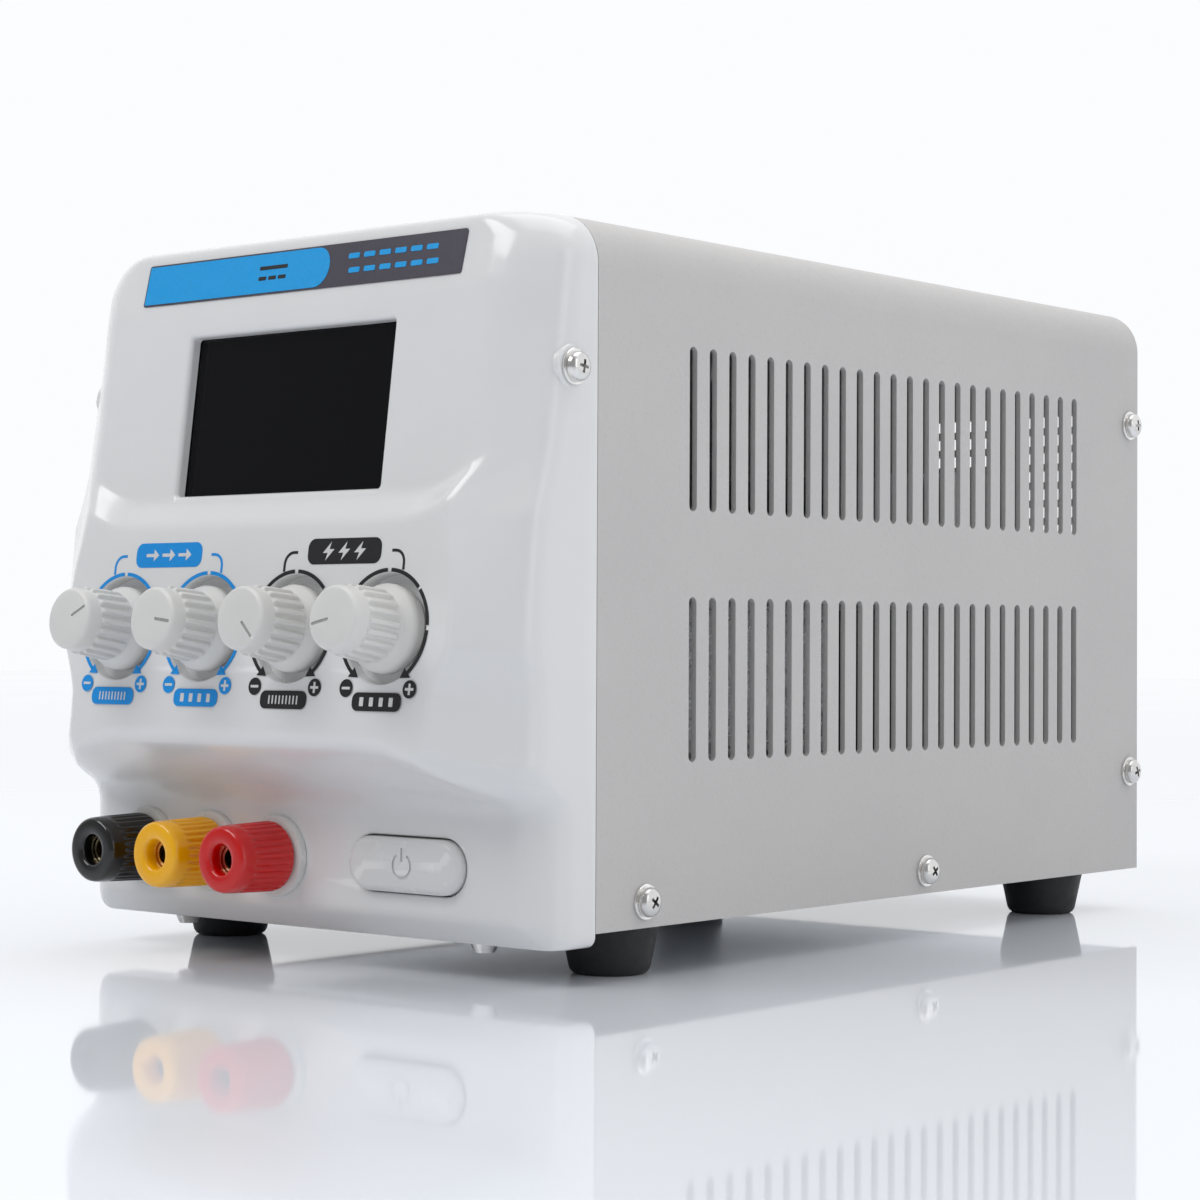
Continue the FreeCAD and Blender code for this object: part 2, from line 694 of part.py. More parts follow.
def make_controls():
    """Four potentiometers with shafts, nuts and fluted knobs, on a shared control board."""
    well = cell("well_depth")
    shaft = cell("shaft_radius")
    nuts = []
    for label, x in zip(CONTROLS, knob_places):
        case_top = -1 * well - 2.1
        bush = rod(3.5, 4.6, on_panel(x, case_top.value), OUT_LEANING)
        can = rod(8.2, 8.0, on_panel(x, case_top.value - 8.0), OUT_LEANING)
        bore = rod(shaft + FIT, 12.0, on_panel(x, case_top.value - 7.0), OUT_LEANING)
        name(cut(join(can, bush), bore), f"potentiometer_{label}")
        nut = hexagon(9.6, 1.9, on_panel(x, -1 * well.value), OUT_LEANING)
        nuts.append(cut(nut, rod(3.5, 6, on_panel(x, -1 * well.value - 2), OUT_LEANING)))
        name(rod(shaft, 14.0, on_panel(x, case_top.value - 6.5), OUT_LEANING), f"shaft_{label}")
        make_knob(label, x, shaft)
    name(group(nuts), "potentiometer_nuts")
    board_centre = on_panel(as_size(0), -1 * well.value - 2.1 - 8.0 - 1.8)
    name(slab(108, 30, 1.6, board_centre, OUT_LEANING), "control_board")


def make_knob(label, x, shaft):
    """Fluted knob: flared skirt down in the well, ribbed barrel and flat face."""
    low = -2.5
    outline = [(0, 0.5), (6.6, 0.5), (6.6, low), (8.3, low), (8.5, -0.8), (8.3, 0.6), (7.4, 2.0),
               (6.8, 2.6), (6.2, 12.9), (5.5, KNOB_REACH), (0, KNOB_REACH)]
    body = turned(outline, on_panel(x), OUT_LEANING)
    bore = rod(shaft, 7.4, on_panel(x, 0.0), OUT_LEANING)
    grooves = []
    for number in range(20):
        angle = 2 * math.pi * number / 20
        groove = document.addObject("Part::Cylinder", "Groove")
        bind(groove, Radius=0.55, Height=6.6)
        put(groove, (6.9 * math.cos(angle), 6.9 * math.sin(angle), 3.4))
        grooves.append(groove)
    carrier = document.addObject("Part::Compound", "Grooves")
    carrier.Links = grooves
    put(carrier, on_panel(x), OUT_LEANING)
    name(cut(body, bore, carrier), f"knob_{label}")


# ---------------------------------------------------------------- output terminals
POSTS = ("negative", "earth", "positive")


def at_post(x, out):
    """Place on a terminal's axis, a distance out from the lower panel."""
    return (x, panel_front - out, cell("post_height"))


def make_terminals():
    """Three binding posts: stud with a 4 mm socket, collar, insert, fluted cap, nut and lug."""
    collars = []
    studs = []
    nuts = []
    lugs = []
    socket = cell("socket_radius")
    for label, x in zip(POSTS, post_places):
        flange = rod(8.2, 1.6, at_post(x, 0), OUT)
        sleeve = rod(4.0, wall, at_post(x, -1 * wall), OUT)
        washer = rod(7.0, 1.6, at_post(x, -1 * wall - 1.6), OUT)
        collars.append(cut(join(flange, sleeve), rod(3.0, 12, at_post(x, -6), OUT)))
        collars.append(cut(washer, rod(3.0, 12, at_post(x, -6), OUT)))
        stud = rod(3.0, 27.6, at_post(x, -15.0), OUT)
        studs.append(cut(stud, rod(socket, 16.0, at_post(x, -2.4), OUT)))
        nut = hexagon(9.6, 2.4, at_post(x, -1 * wall - 4.0), OUT)
        nuts.append(cut(nut, rod(3.0, 12, at_post(x, -12), OUT)))
        ring = rod(4.6, 0.8, at_post(x, -1 * wall - 4.8), OUT)
        tail = box((x - 1.5, panel_front + wall + 4.0, cell("post_height") - 11),
                   (x + 1.5, panel_front + wall + 4.8, cell("post_height") - 3.5))
        lugs.append(cut(join(ring, tail), rod(3.0, 12, at_post(x, -12), OUT)))
        insert = rod(4.4, 8.0, at_post(x, 4.2), OUT)
        name(cut(insert, rod(3.0 + FIT, 12, at_post(x, 2), OUT)), f"insert_{label}")
        make_cap(label, x)
    name(group(collars), "post_insulators")
    name(group(studs), "post_studs")
    name(group(nuts), "post_nuts")
    name(group(lugs), "solder_lugs")


def make_cap(label, x):
    """Fluted plastic cap of a binding post, with the plug hole in its face."""
    outline = [(3.0 + 2 * FIT, 2.0), (6.7, 2.0), (7.1, 2.6), (7.0, 11.4), (6.7, 12.0), (6.6, 15.2),
               (6.2, 15.8), (3.1, 15.8), (2.75, 15.3), (2.75, 12.9), (3.0 + 2 * FIT, 12.9),
               (3.0 + 2 * FIT, 12.2), (4.4 + FIT, 12.2), (4.4 + FIT, 4.2), (3.0 + 2 * FIT, 4.2)]
    body = turned(outline, at_post(x, 0), OUT)
    grooves = []
    for number in range(28):
        angle = 2 * math.pi * number / 28
        groove = document.addObject("Part::Cylinder", "Groove")
        bind(groove, Radius=0.35, Height=8.6)
        put(groove, (7.2 * math.cos(angle), 7.2 * math.sin(angle), 2.8))
        grooves.append(groove)
    carrier = document.addObject("Part::Compound", "Grooves")
    carrier.Links = grooves
    put(carrier, at_post(x, 0), OUT)
    name(cut(body, carrier), f"cap_{label}")


# ---------------------------------------------------------------- power switch
def shape_part(shape, label):
    """Part whose shape is worked out from the sheet in this script."""
    item = document.addObject("Part::Feature", "Shaped")
    item.Shape = shape
    item.Placement = FreeCAD.Placement()
    return name(item, label)


def make_power_switch():
    """Push button with a retaining flange, its switch, plunger and return spring."""
    front = panel_front.value
    length = cell("button_length").value
    tall = cell("button_tall").value
    centre = Vector(cell("button_centre").value, 0, cell("post_height").value)
    button = stadium_solid(length, tall, front - 2.0, 2.0 + wall.value + 2.0)
    flange = stadium_solid(length + 3, tall + 3, front + wall.value + FREE, 1.5)
    stem = Part.makeBox(5, 10.5, 5, centre + Vector(-2.5, front + 4.0, -2.5))
    shape_part(button.fuse([flange, stem]).removeSplitter(), "power_button")
    switch_front = SWITCH_FRONT.value
    housing = Part.makeBox(12, 16, 12, centre + Vector(-6, switch_front, -6))
    gap = 5 + 2 * FREE
    passage = Part.makeBox(gap, 8, gap, centre + Vector(-gap / 2, switch_front - 1, -gap / 2))
    shape_part(housing.cut(passage), "power_switch")
    spring_start = front + wall.value + FREE + 1.5
    spring_end = switch_front - plate.value
    coil = Part.makeHelix(1.5, spring_end - spring_start - 1.0, 4.4)
    edge = 0.3
    square = ((-edge, -edge), (edge, -edge), (edge, edge), (-edge, edge), (-edge, -edge))
    corners = [Vector(4.4 + x, 0, z) for x, z in square]
    spring = Part.Wire(coil).makePipeShell([Part.makePolygon(corners)], True, True)
    seat = FreeCAD.Placement(Vector(centre.x, spring_start + 0.5, centre.z), REARWARD)
    shape_part(spring.transformed(seat.toMatrix(), True), "button_spring")


# ---------------------------------------------------------------- feet and fasteners
def make_feet():
    """Four tapered rubber feet and the screws up through them."""
    screws = []
    corners = ("front_left", "front_right", "rear_left", "rear_right")
    for label, (x, y) in zip(corners, feet_places):
        sole = cell("foot_sole")
        top = cell("foot_top")
        outline = [(screw_radius, tray_low), (top, tray_low), (sole + 0.3, 1.4), (sole - 0.9, 0),
                   (4.0, 0), (4.0, 5.0), (screw_radius, 5.0)]
        turned(outline, (x, y, 0), UP, f"foot_{label}")
        head = rod(cell("head_radius"), cell("head_height"), (x, y, 3.0))
        screws.append(join(head, rod(screw_radius, tray_high - 3.0, (x, y, 5.0))))
    return screws


def pan_screw(start, turn, length):
    """Pan-head screw with a cross recess; the head starts at the seat and runs along the turn."""
    head = taper(cell("head_radius"), cell("head_radius") - 0.9, cell("head_height"), start, turn)
    axis = turn.multVec(Vector(0, 0, 1))
    back = [as_size(value) - axis_part * length for value, axis_part in zip(start, axis)]
    front = [as_size(value) + axis_part * 1.1 for value, axis_part in zip(start, axis)]
    shank = rod(screw_radius, length, back, turn)
    recess = [slab(2.9, 0.65, 3, front, turn), slab(0.65, 2.9, 3, front, turn)]
    return cut(join(head, shank), *recess)


def make_case_screws(foot_screws):
    """Ten pan-head screws and washers on the sides, and the screws that go in from below."""
    screws = []
    washers = []
    for sign, turn in ((-1, LEFTWARD), (1, RIGHTWARD)):
        for y, z in side_screws + [bezel_screw]:
            seat = (sign * (half + cell("washer_height")), y, z)
            screws.append(pan_screw(seat, turn, 6.0))
            washer = rod(cell("washer_radius"), cell("washer_height"), (sign * half, y, z), turn)
            through = rod(screw_radius, 4, (sign * (half - 1), y, z), turn)
            washers.append(cut(washer, through))
    name(group(screws), "case_screws")
    name(group(washers), "case_washers")
    down = FreeCAD.Rotation(Vector(1, 0, 0), 180)
    under = [pan_screw((x, seam - 5, bezel_low), down, 5.0) for x in UNDER_SCREWS]
    name(group(under + foot_screws), "under_screws")


# ---------------------------------------------------------------- transformer
UNDER_SCREWS = (-42.0, 42.0)


def make_transformer():
    """Laminated core, taped winding, clamping frame with feet, and four screws."""
    front = seam + 27
    back = front + 84
    low = tray_high + 1.6
    core = box((-30, front, low), (34, back, low + 74))
    window_front = box((-31, front + 10, low + 9), (35, front + 32, low + 65))
    window_back = box((-31, back - 32, low + 9), (35, back - 10, low + 65))
    name(cut(core, window_front, window_back), "transformer_core")
    winding = box((-44, front + 10.4, low + 9.4), (48, back - 10.4, low + 64.6))
    limb = box((-30.2, front + 31.6, low + 5), (34.2, back - 31.6, low + 70))
    name(cut(winding, limb), "transformer_winding")
    strap_low = tray_high
    strap = box((-30, front - 1.4, strap_low), (34, back + 1.4, low + 75.6))
    inside = box((-40, front - 0.1, strap_low - 1), (44, back + 0.1, low + 74.1))
    feet = [box((-30, front - 13, strap_low), (34, front - 0.1, strap_low + 1.5)),
            box((-30, back + 0.1, strap_low), (34, back + 13, strap_low + 1.5))]
    holes = [(x, y) for x in (-22, 26) for y in (front - 7.5, back + 7.5)]
    drills = [rod(screw_radius + 0.5, 8, (x, y, strap_low - 2)) for x, y in holes]
    name(cut(join(cut(strap, inside), *feet), *drills), "transformer_frame")
    screws = []
    for x, y in holes:
        head = rod(3.6, 2.4, (x, y, strap_low + 1.5))
        screws.append(join(head, rod(screw_radius + 0.5, 1.5, (x, y, strap_low))))
    name(group(screws), "transformer_screws")


# ---------------------------------------------------------------- regulator
SINK_X = (-50.0, 26.0)
SINK_HIGH = cover_low + 97.6
SINK_SCREWS = (-27.2, 14.8)
SINK_SCREW_HIGH = cover_low + 77.0
FIN_PITCH = 6.0
FIN_COUNT = 13
INLET_X = -34.0
INLET_Z = cover_low + 24.0
FUSE_X = 14.0


def make_main_board():
    """Regulator board on posts with its capacitors, rectifier, relays and terminals."""
    top = board_low + 1.6
    board = box((-60, board_front, board_low), (60, board_rear, top))
    holes = [rod(screw_radius, 6, (x, y, board_low - 2)) for x, y in board_posts]
    name(cut(board, *holes), "main_board")
    posts = [cut(hexagon(5.5, 7.0, (x, y, tray_high)), rod(screw_radius, 9, (x, y, tray_high - 1)))
             for x, y in board_posts]
    name(group(posts), "board_posts")
    screws = []
    for x, y in board_posts:
        head = rod(cell("head_radius"), 1.8, (x, y, top))
        screws.append(join(head, rod(screw_radius, 5, (x, y, top - 5))))
    name(group(screws), "board_screws")
    cans = [rod(12.5, 52.0, (x, board_front + 17, top)) for x in (14, 42)]
    name(group(cans), "filter_capacitors")
    relays = [box((x, board_front + 32, top), (x + 15.5, board_front + 51, top + 15.5)) for x in (-48, -28)]
    name(group(relays), "tap_relays")
    name(box((-46, board_front + 10, top), (-18, board_front + 15.5, top + 21)), "bridge_rectifier")


def make_heat_sink():
    """Finned heat sink on the rear panel with the pass transistors and their screws."""
    back = rear - 1.5 - plate
    low = board_low + 26.5
    base = box((SINK_X[0], back - 5, low), (SINK_X[1], back, SINK_HIGH))
    starts = [SINK_X[0] + 1 + number * FIN_PITCH for number in range(FIN_COUNT) if number not in (7, 8)]
    fins = [box((start, back - 17, low), (start + 1.6, back - 4, SINK_HIGH)) for start in starts]
    holes = [rod(screw_radius, 12, (x, back + 4, SINK_SCREW_HIGH), OUT) for x in SINK_SCREWS]
    name(cut(join(base, *fins), *holes), "heat_sink")
    name(box((-9.5, back - 10, low + 8), (3.5, back - 5, low + 28)), "pass_transistor")
    screws = [pan_screw((x, rear - 1.5, SINK_SCREW_HIGH), REARWARD, 7.0) for x in SINK_SCREWS]
    return screws


def make_inlet(sink_screws):
    """Mains inlet with three blades, fuse holder, and all the screws in the rear panel."""
    seat = rear - 1.5
    flange = box((INLET_X - 25, seat, INLET_Z - 11.5), (INLET_X + 25, seat + 3.0, INLET_Z + 11.5))
    shell = box((INLET_X - 14, rear - 24, INLET_Z - 10), (INLET_X + 14, seat, INLET_Z + 10))
    cavity = box((INLET_X - 12, rear - 15.5, INLET_Z - 8), (INLET_X + 12, rear + 5, INLET_Z + 8))
    holes = [rod(screw_radius, 12, (INLET_X + sign * 20, rear + 6, INLET_Z), OUT) for sign in (-1, 1)]
    blade_places = ((-7.0, -2.4), (7.0, -2.4), (0.0, 3.6))
    slots = [box((INLET_X + x - 1.0, rear - 30, INLET_Z + z - 2), (INLET_X + x + 1.0, rear - 14, INLET_Z + z + 2))
             for x, z in blade_places]
    name(cut(join(flange, shell), cavity, *holes, *slots), "mains_inlet")
    blades = [box((INLET_X + x - 1.0, rear - 30, INLET_Z + z - 2), (INLET_X + x + 1.0, rear - 2.5, INLET_Z + z + 2))
              for x, z in blade_places]
    name(group(blades), "inlet_blades")
    screws = [pan_screw((INLET_X + sign * 20, seat + 3.0, INLET_Z), REARWARD, 7.0) for sign in (-1, 1)]
    name(group(screws + sink_screws), "rear_screws")
    collar = rod(8.0, 2.2, (FUSE_X, seat, INLET_Z), REARWARD)
    barrel = rod(6.1, 24, (FUSE_X, seat - 24, INLET_Z), REARWARD)
    bore = rod(5.1, 30, (FUSE_X, seat - 20, INLET_Z), REARWARD)
    name(cut(join(collar, barrel), bore), "fuse_holder")
    carrier = join(rod(5.1, 22, (FUSE_X, seat - 19.8, INLET_Z), REARWARD),
                   rod(6.2, 2.4, (FUSE_X, seat + 2.2, INLET_Z), REARWARD))
    slot = box((FUSE_X - 4, seat + 3.4, INLET_Z - 0.6), (FUSE_X + 4, seat + 6, INLET_Z + 0.6))
    name(cut(carrier, slot), "fuse_carrier")


# ---------------------------------------------------------------- wiring
def lead(points, radius, bend):
    """Insulated wire: straight runs joined by tangent arcs."""
    edges = []
    start = points[0]
    for number in range(1, len(points) - 1):
        corner = points[number]
        before = (points[number - 1] - corner).normalize()
        after = (points[number + 1] - corner).normalize()
        half_turn = before.getAngle(after) / 2
        set_back = bend / math.tan(half_turn)
        first = corner + before * set_back
        last = corner + after * set_back
        bisector = (before + after).normalize()
        middle = corner + bisector * (bend / math.sin(half_turn) - bend)
        edges.append(Part.LineSegment(start, first).toShape())
        edges.append(Part.Arc(first, middle, last).toShape())
        start = last
    edges.append(Part.LineSegment(start, points[-1]).toShape())
    path = Part.Wire(edges)
    direction = points[1] - points[0]
    section = Part.Wire([Part.makeCircle(radius, points[0], direction)])
    return path.makePipeShell([section], True, False)


def make_leads():
    """Output leads from the regulator board to the posts, and mains leads to the switch."""
    lug_y = panel_front.value + wall.value + 4.8
    lug_z = cell("post_height").value - 9.5
    board_y = board_front.value + 40
    floor = tray_high.value
    leads = []
    for x, lane, rise in ((post_places[0].value, -53.0, 9.5), (post_places[2].value, -49.0, 10.5)):
        route = [Vector(x, lug_y, lug_z + 2.5), Vector(x, lug_y + rise, lug_z + 2.5),
                 Vector(lane, lug_y + 2 + rise, lug_z + 12 + rise),
                 Vector(lane, lug_y + 40, floor + 14), Vector(lane, board_front.value - 14, floor + 8),
                 Vector(lane, board_front.value - 5, floor + 22), Vector(lane, board_front.value + 4, floor + 22),
                 Vector(lane, board_front.value + 9, floor + 9.2)]
        leads.append(lead(route, 1.1, 3.0))
    shape_part(Part.makeCompound(leads), "output_leads")


make_top_cover()
make_base_tray()
make_rear_panel()
make_front_plate()
make_front_bezel()
make_display()
make_nameplate()
make_controls()
make_terminals()
make_power_switch()
make_case_screws(make_feet())
make_transformer()
make_main_board()
make_inlet(make_heat_sink())
make_leads()

document.recompute()
failed = [f"{item.Label} ({item.TypeId})" for item in document.Objects
          if "Invalid" in item.State or "Error" in item.State]
failed += [item.Label for item in finished if item.Shape.isNull() or not item.Shape.isValid()]
if failed:
    raise RuntimeError("these did not build: " + ", ".join(failed))
os.makedirs("parts", exist_ok=True)
for item in finished:
    item.Shape.exportStep(f"parts/{item.Label}.step")
print(len(finished), "parts written")
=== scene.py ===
"""Bench power supply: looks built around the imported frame. Metres, front towards -Y."""
import json
import math

import bmesh
import bpy
import numpy as np
from mathutils import Matrix, Vector


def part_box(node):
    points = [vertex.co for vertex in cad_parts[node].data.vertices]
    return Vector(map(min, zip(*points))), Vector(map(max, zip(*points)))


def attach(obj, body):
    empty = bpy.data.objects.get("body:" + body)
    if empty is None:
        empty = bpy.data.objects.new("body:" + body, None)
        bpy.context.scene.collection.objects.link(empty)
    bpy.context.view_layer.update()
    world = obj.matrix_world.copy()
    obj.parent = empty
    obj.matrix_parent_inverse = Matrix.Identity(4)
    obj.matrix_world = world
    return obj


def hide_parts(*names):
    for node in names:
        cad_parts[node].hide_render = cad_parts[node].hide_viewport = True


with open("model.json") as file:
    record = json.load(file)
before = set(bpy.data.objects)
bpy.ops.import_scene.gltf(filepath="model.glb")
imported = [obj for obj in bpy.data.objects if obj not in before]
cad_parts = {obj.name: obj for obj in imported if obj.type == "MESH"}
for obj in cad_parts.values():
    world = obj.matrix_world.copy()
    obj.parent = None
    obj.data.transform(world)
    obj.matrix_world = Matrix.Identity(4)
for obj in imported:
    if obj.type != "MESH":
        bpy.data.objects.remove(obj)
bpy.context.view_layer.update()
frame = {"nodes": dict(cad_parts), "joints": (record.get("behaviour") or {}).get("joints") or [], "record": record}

MM = 0.001
record = frame["record"]
joints = {joint["name"]: joint for joint in frame["joints"]}
scene = bpy.context.scene

# ------------------------------------------------------------------ places from the frame
COVER_LOW, COVER_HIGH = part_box("top_cover")
BEZEL_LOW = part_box("front_bezel")[0]
SEAM = COVER_LOW.y
HALF = COVER_HIGH.x
TOP = COVER_HIGH.z
BOTTOM = BEZEL_LOW.z
TERMINAL_DEPTH = SEAM - joints["negative_unscrew"]["pos_m"][1]
CONTROLS = ("current_fine", "current_coarse", "voltage_fine", "voltage_coarse")
TERMINALS = ("negative", "earth", "positive")
TRAVEL = 150.0      # a knob's turn each way from its middle, in degrees


def axis_frame(origin, outward):
    """Matrix whose +Z points outward from a panel, +X to the right and +Y up the panel."""
    z = Vector(outward).normalized()
    x = Vector((1, 0, 0))
    y = z.cross(x)
    matrix = Matrix((x, y, z)).transposed().to_4x4()
    matrix.translation = Vector(origin)
    return matrix


KNOB_FRAMES = {name: axis_frame(joints[f"{name}_turn"]["pos_m"], joints[f"{name}_turn"]["axis"])
               for name in CONTROLS}
POST_FRAMES = {name: axis_frame(joints[f"{name}_unscrew"]["pos_m"], (0, -1, 0)) for name in TERMINALS}
KNOB_POINT = Vector(joints["current_fine_turn"]["pos_m"])
KNOB_AXIS = Vector(joints["current_fine_turn"]["axis"])
KNOB_SLOPE = KNOB_AXIS.z / -KNOB_AXIS.y          # metres of depth lost per metre of height


def knob_depth(height):
    """Depth of the control panel in front of the seam, in metres."""
    return SEAM - KNOB_POINT.y - (height - KNOB_POINT.z) * KNOB_SLOPE


# ------------------------------------------------------------------ camera
CAMERA_LENS = 83.31                     # millimetres, on a sensor 36 mm wide
CAMERA_TURN = (-39.69, 0.82, 0.25)      # yaw, pitch and roll, in degrees
# metres from the lower right front corner of the cover: to the right, forward and up
CAMERA_ASIDE, CAMERA_AHEAD, CAMERA_RISE = 0.3335, 0.4011, 0.0552


def make_camera():
    """Camera low in front and to the right of the supply, turned to its front corner."""
    data = bpy.data.cameras.new("camera")
    data.sensor_width = 36.0
    data.lens = CAMERA_LENS
    camera = bpy.data.objects.new("camera", data)
    scene.collection.objects.link(camera)
    yaw, pitch, roll = (math.radians(angle) for angle in CAMERA_TURN)
    forward = Vector((math.sin(yaw) * math.cos(pitch), math.cos(yaw) * math.cos(pitch), math.sin(pitch)))
    level = Vector((math.cos(yaw), -math.sin(yaw), 0))
    upright = level.cross(forward)
    right = math.cos(roll) * level + math.sin(roll) * upright
    up = -math.sin(roll) * level + math.cos(roll) * upright
    matrix = Matrix((right, up, -forward)).transposed().to_4x4()
    matrix.translation = Vector((HALF + CAMERA_ASIDE, SEAM - CAMERA_AHEAD, COVER_LOW.z + CAMERA_RISE))
    camera.matrix_world = matrix
    data.clip_start = 0.01
    scene.camera = camera


# ------------------------------------------------------------------ materials
class Nodes:
    """Short hand for building one material's node tree."""

    def __init__(self, title):
        self.material = bpy.data.materials.new(title)
        self.material.use_nodes = True
        self.tree = self.material.node_tree
        self.shader = self.tree.nodes["Principled BSDF"]
        self.place = self.add("ShaderNodeTexCoord").outputs["Object"]

    def add(self, kind, **inputs):
        """New node with its input sockets set or linked."""
        node = self.tree.nodes.new(kind)
        for name, value in inputs.items():
            self.feed(node.inputs[name.replace("_", " ")], value)
        return node

    def feed(self, socket, value):
        """Link an output to a socket, or set the socket's value."""
        if isinstance(value, bpy.types.NodeSocket):
            self.tree.links.new(value, socket)
        else:
            socket.default_value = value

    def noise(self, scale, detail=3.0, stretch=None):
        """Noise value over the piece, at a scale in features per metre."""
        place = self.place
        if stretch:
            mapping = self.add("ShaderNodeMapping", Vector=place)
            mapping.inputs["Scale"].default_value = stretch
            place = mapping.outputs["Vector"]
        return self.add("ShaderNodeTexNoise", Vector=place, Scale=scale, Detail=detail).outputs["Fac"]

    def spread(self, value, low, high, start=0.3, end=0.7):
        """Value stretched from a start-to-end range to low-to-high."""
        node = self.add("ShaderNodeMapRange", Value=value)
        for name, number in (("From Min", start), ("From Max", end), ("To Min", low), ("To Max", high)):
            node.inputs[name].default_value = number
        return node.outputs["Result"]

    def mix(self, factor, first, second):
        """Colour between two others; the node's colour sockets share their names, so they go by number."""
        node = self.tree.nodes.new("ShaderNodeMix")
        node.data_type = "RGBA"
        self.feed(node.inputs["Factor"], factor)
        self.feed(node.inputs[6], first)
        self.feed(node.inputs[7], second)
        return node.outputs[2]

    def bump(self, height, distance, strength=1.0, normal=None):
        """Surface relief of a depth in metres."""
        node = self.add("ShaderNodeBump", Height=height)
        node.inputs["Distance"].default_value = distance
        node.inputs["Strength"].default_value = strength
        if normal is not None:
            self.feed(node.inputs["Normal"], normal)
        return node.outputs["Normal"]

    def edges(self, start, end):
        """1 on convex edges, 0 elsewhere: the mask for painted edge sheen and for scuffs."""
        point = self.add("ShaderNodeNewGeometry").outputs["Pointiness"]
        return self.spread(point, 0.0, 1.0, start, end)

    def set(self, **inputs):
        """Set or link the shader's own sockets."""
        for name, value in inputs.items():
            self.feed(self.shader.inputs[name.replace("_", " ")], value)
        return self.material


def rgb(red, green, blue):
    """Opaque colour."""
    return (red, green, blue, 1.0)


def moulded(title, colour, shade, rough=(0.28, 0.36), grain=900.0, depth=0.00002, coat=0.0, sheen_edge=0.5):
    """Moulded plastic: faint cloudiness, fine grain, and convex edges lightened as a painted sheen."""
    nodes = Nodes(title)
    cloud = nodes.spread(nodes.noise(60.0, 4.0), 0.0, 1.0)
    base = nodes.mix(cloud, rgb(*colour), rgb(*shade))
    # painted sheen: convex edges get a lighter colour, scaled by sheen_edge
    scuffs_and_sheen = nodes.edges(0.52, 0.62)
    sheen_colour = rgb(*(min(1.0, part * (1.0 + 0.25 * sheen_edge) + 0.01 * sheen_edge) for part in colour))
    base = nodes.mix(scuffs_and_sheen, base, sheen_colour)
    fine = nodes.noise(grain, 2.0)
    roughness = nodes.spread(nodes.noise(220.0, 5.0), *rough)
    return nodes.set(Base_Color=base, Roughness=roughness, Normal=nodes.bump(fine, depth, 0.6),
                     Coat_Weight=coat, Coat_Roughness=0.08, IOR=1.49)


def painted(title, colour, shade):
    """Fine textured enamel on sheet steel."""
    nodes = Nodes(title)
    cloud = nodes.spread(nodes.noise(25.0, 3.0), 0.0, 1.0)
    base = nodes.mix(cloud, rgb(*colour), rgb(*shade))
    speck = nodes.spread(nodes.noise(1500.0, 2.0), 0.0, 0.35, 0.55, 0.75)
    base = nodes.mix(speck, base, rgb(*(part * 0.86 for part in shade)))
    orange_peel = nodes.noise(900.0, 3.0)
    fine = nodes.bump(nodes.noise(2600.0, 2.0), 0.000025, 0.7)
    normal = nodes.bump(orange_peel, 0.00007, 0.8, fine)
    roughness = nodes.spread(nodes.noise(400.0, 4.0), 0.42, 0.56)
    return nodes.set(Base_Color=base, Roughness=roughness, Normal=normal, IOR=1.5)


def metal(title, colour, shade, rough=(0.2, 0.34), stretch=(1.0, 1.0, 1.0), grain=1200.0, depth=0.00001):
    """Bare or plated metal with brushed or cast grain."""
    nodes = Nodes(title)
    brushed = nodes.noise(grain, 4.0, stretch)
    base = nodes.mix(nodes.spread(nodes.noise(90.0, 4.0), 0.0, 1.0), rgb(*colour), rgb(*shade))
    # convex edges get a lighter colour than the rest of the metal
    scuffs_and_sheen = nodes.edges(0.53, 0.62)
    base = nodes.mix(scuffs_and_sheen, base, rgb(*(min(1.0, part * 1.2) for part in colour)))
    roughness = nodes.spread(brushed, *rough)
    return nodes.set(Base_Color=base, Metallic=1.0, Roughness=roughness,
                     Normal=nodes.bump(brushed, depth, 0.7))


def laminated(title):
    """Stacked core sheets: fine lines through the stack."""
    nodes = Nodes(title)
    wave = nodes.add("ShaderNodeTexWave", Vector=nodes.place, Scale=320.0, Distortion=0.4)
    wave.bands_direction = "X"
    lines = wave.outputs["Fac"]
    base = nodes.mix(lines, rgb(0.16, 0.155, 0.15), rgb(0.42, 0.41, 0.40))
    return nodes.set(Base_Color=base, Metallic=0.8, Roughness=nodes.spread(nodes.noise(500.0), 0.3, 0.5),
                     Normal=nodes.bump(lines, 0.0002, 0.8))


def board(title):
    """Circuit board: solder mask over faint tracks."""
    nodes = Nodes(title)
    bricks = nodes.add("ShaderNodeTexBrick", Vector=nodes.place, Scale=140.0)
    bricks.inputs["Color1"].default_value = rgb(0.01, 0.10, 0.035)
    bricks.inputs["Color2"].default_value = rgb(0.012, 0.14, 0.05)
    bricks.inputs["Mortar"].default_value = rgb(0.03, 0.22, 0.08)
    roughness = nodes.spread(nodes.noise(300.0), 0.25, 0.4)
    return nodes.set(Base_Color=bricks.outputs["Color"], Roughness=roughness,
                     Normal=nodes.bump(bricks.outputs["Fac"], 0.00004, 0.6))


def screen_glass(title):
    """Near-black acrylic window with faint dust and smears."""
    nodes = Nodes(title)
    dust = nodes.spread(nodes.noise(2200.0, 4.0), 0.0, 1.0, 0.72, 0.80)
    base = nodes.mix(dust, rgb(0.004, 0.004, 0.005), rgb(0.03, 0.03, 0.035))
    roughness = nodes.spread(nodes.noise(35.0, 5.0), 0.04, 0.10)
    return nodes.set(Base_Color=base, Roughness=roughness, IOR=1.25)


def printed(title, colour):
    """Ink film on the moulding."""
    nodes = Nodes(title)
    grain = nodes.noise(1800.0, 3.0)
    base = nodes.mix(nodes.spread(grain, 0.0, 1.0), rgb(*colour), rgb(*(part * 0.9 for part in colour)))
    return nodes.set(Base_Color=base, Roughness=nodes.spread(nodes.noise(700.0), 0.3, 0.42),
                     Normal=nodes.bump(grain, 0.000008, 0.5))


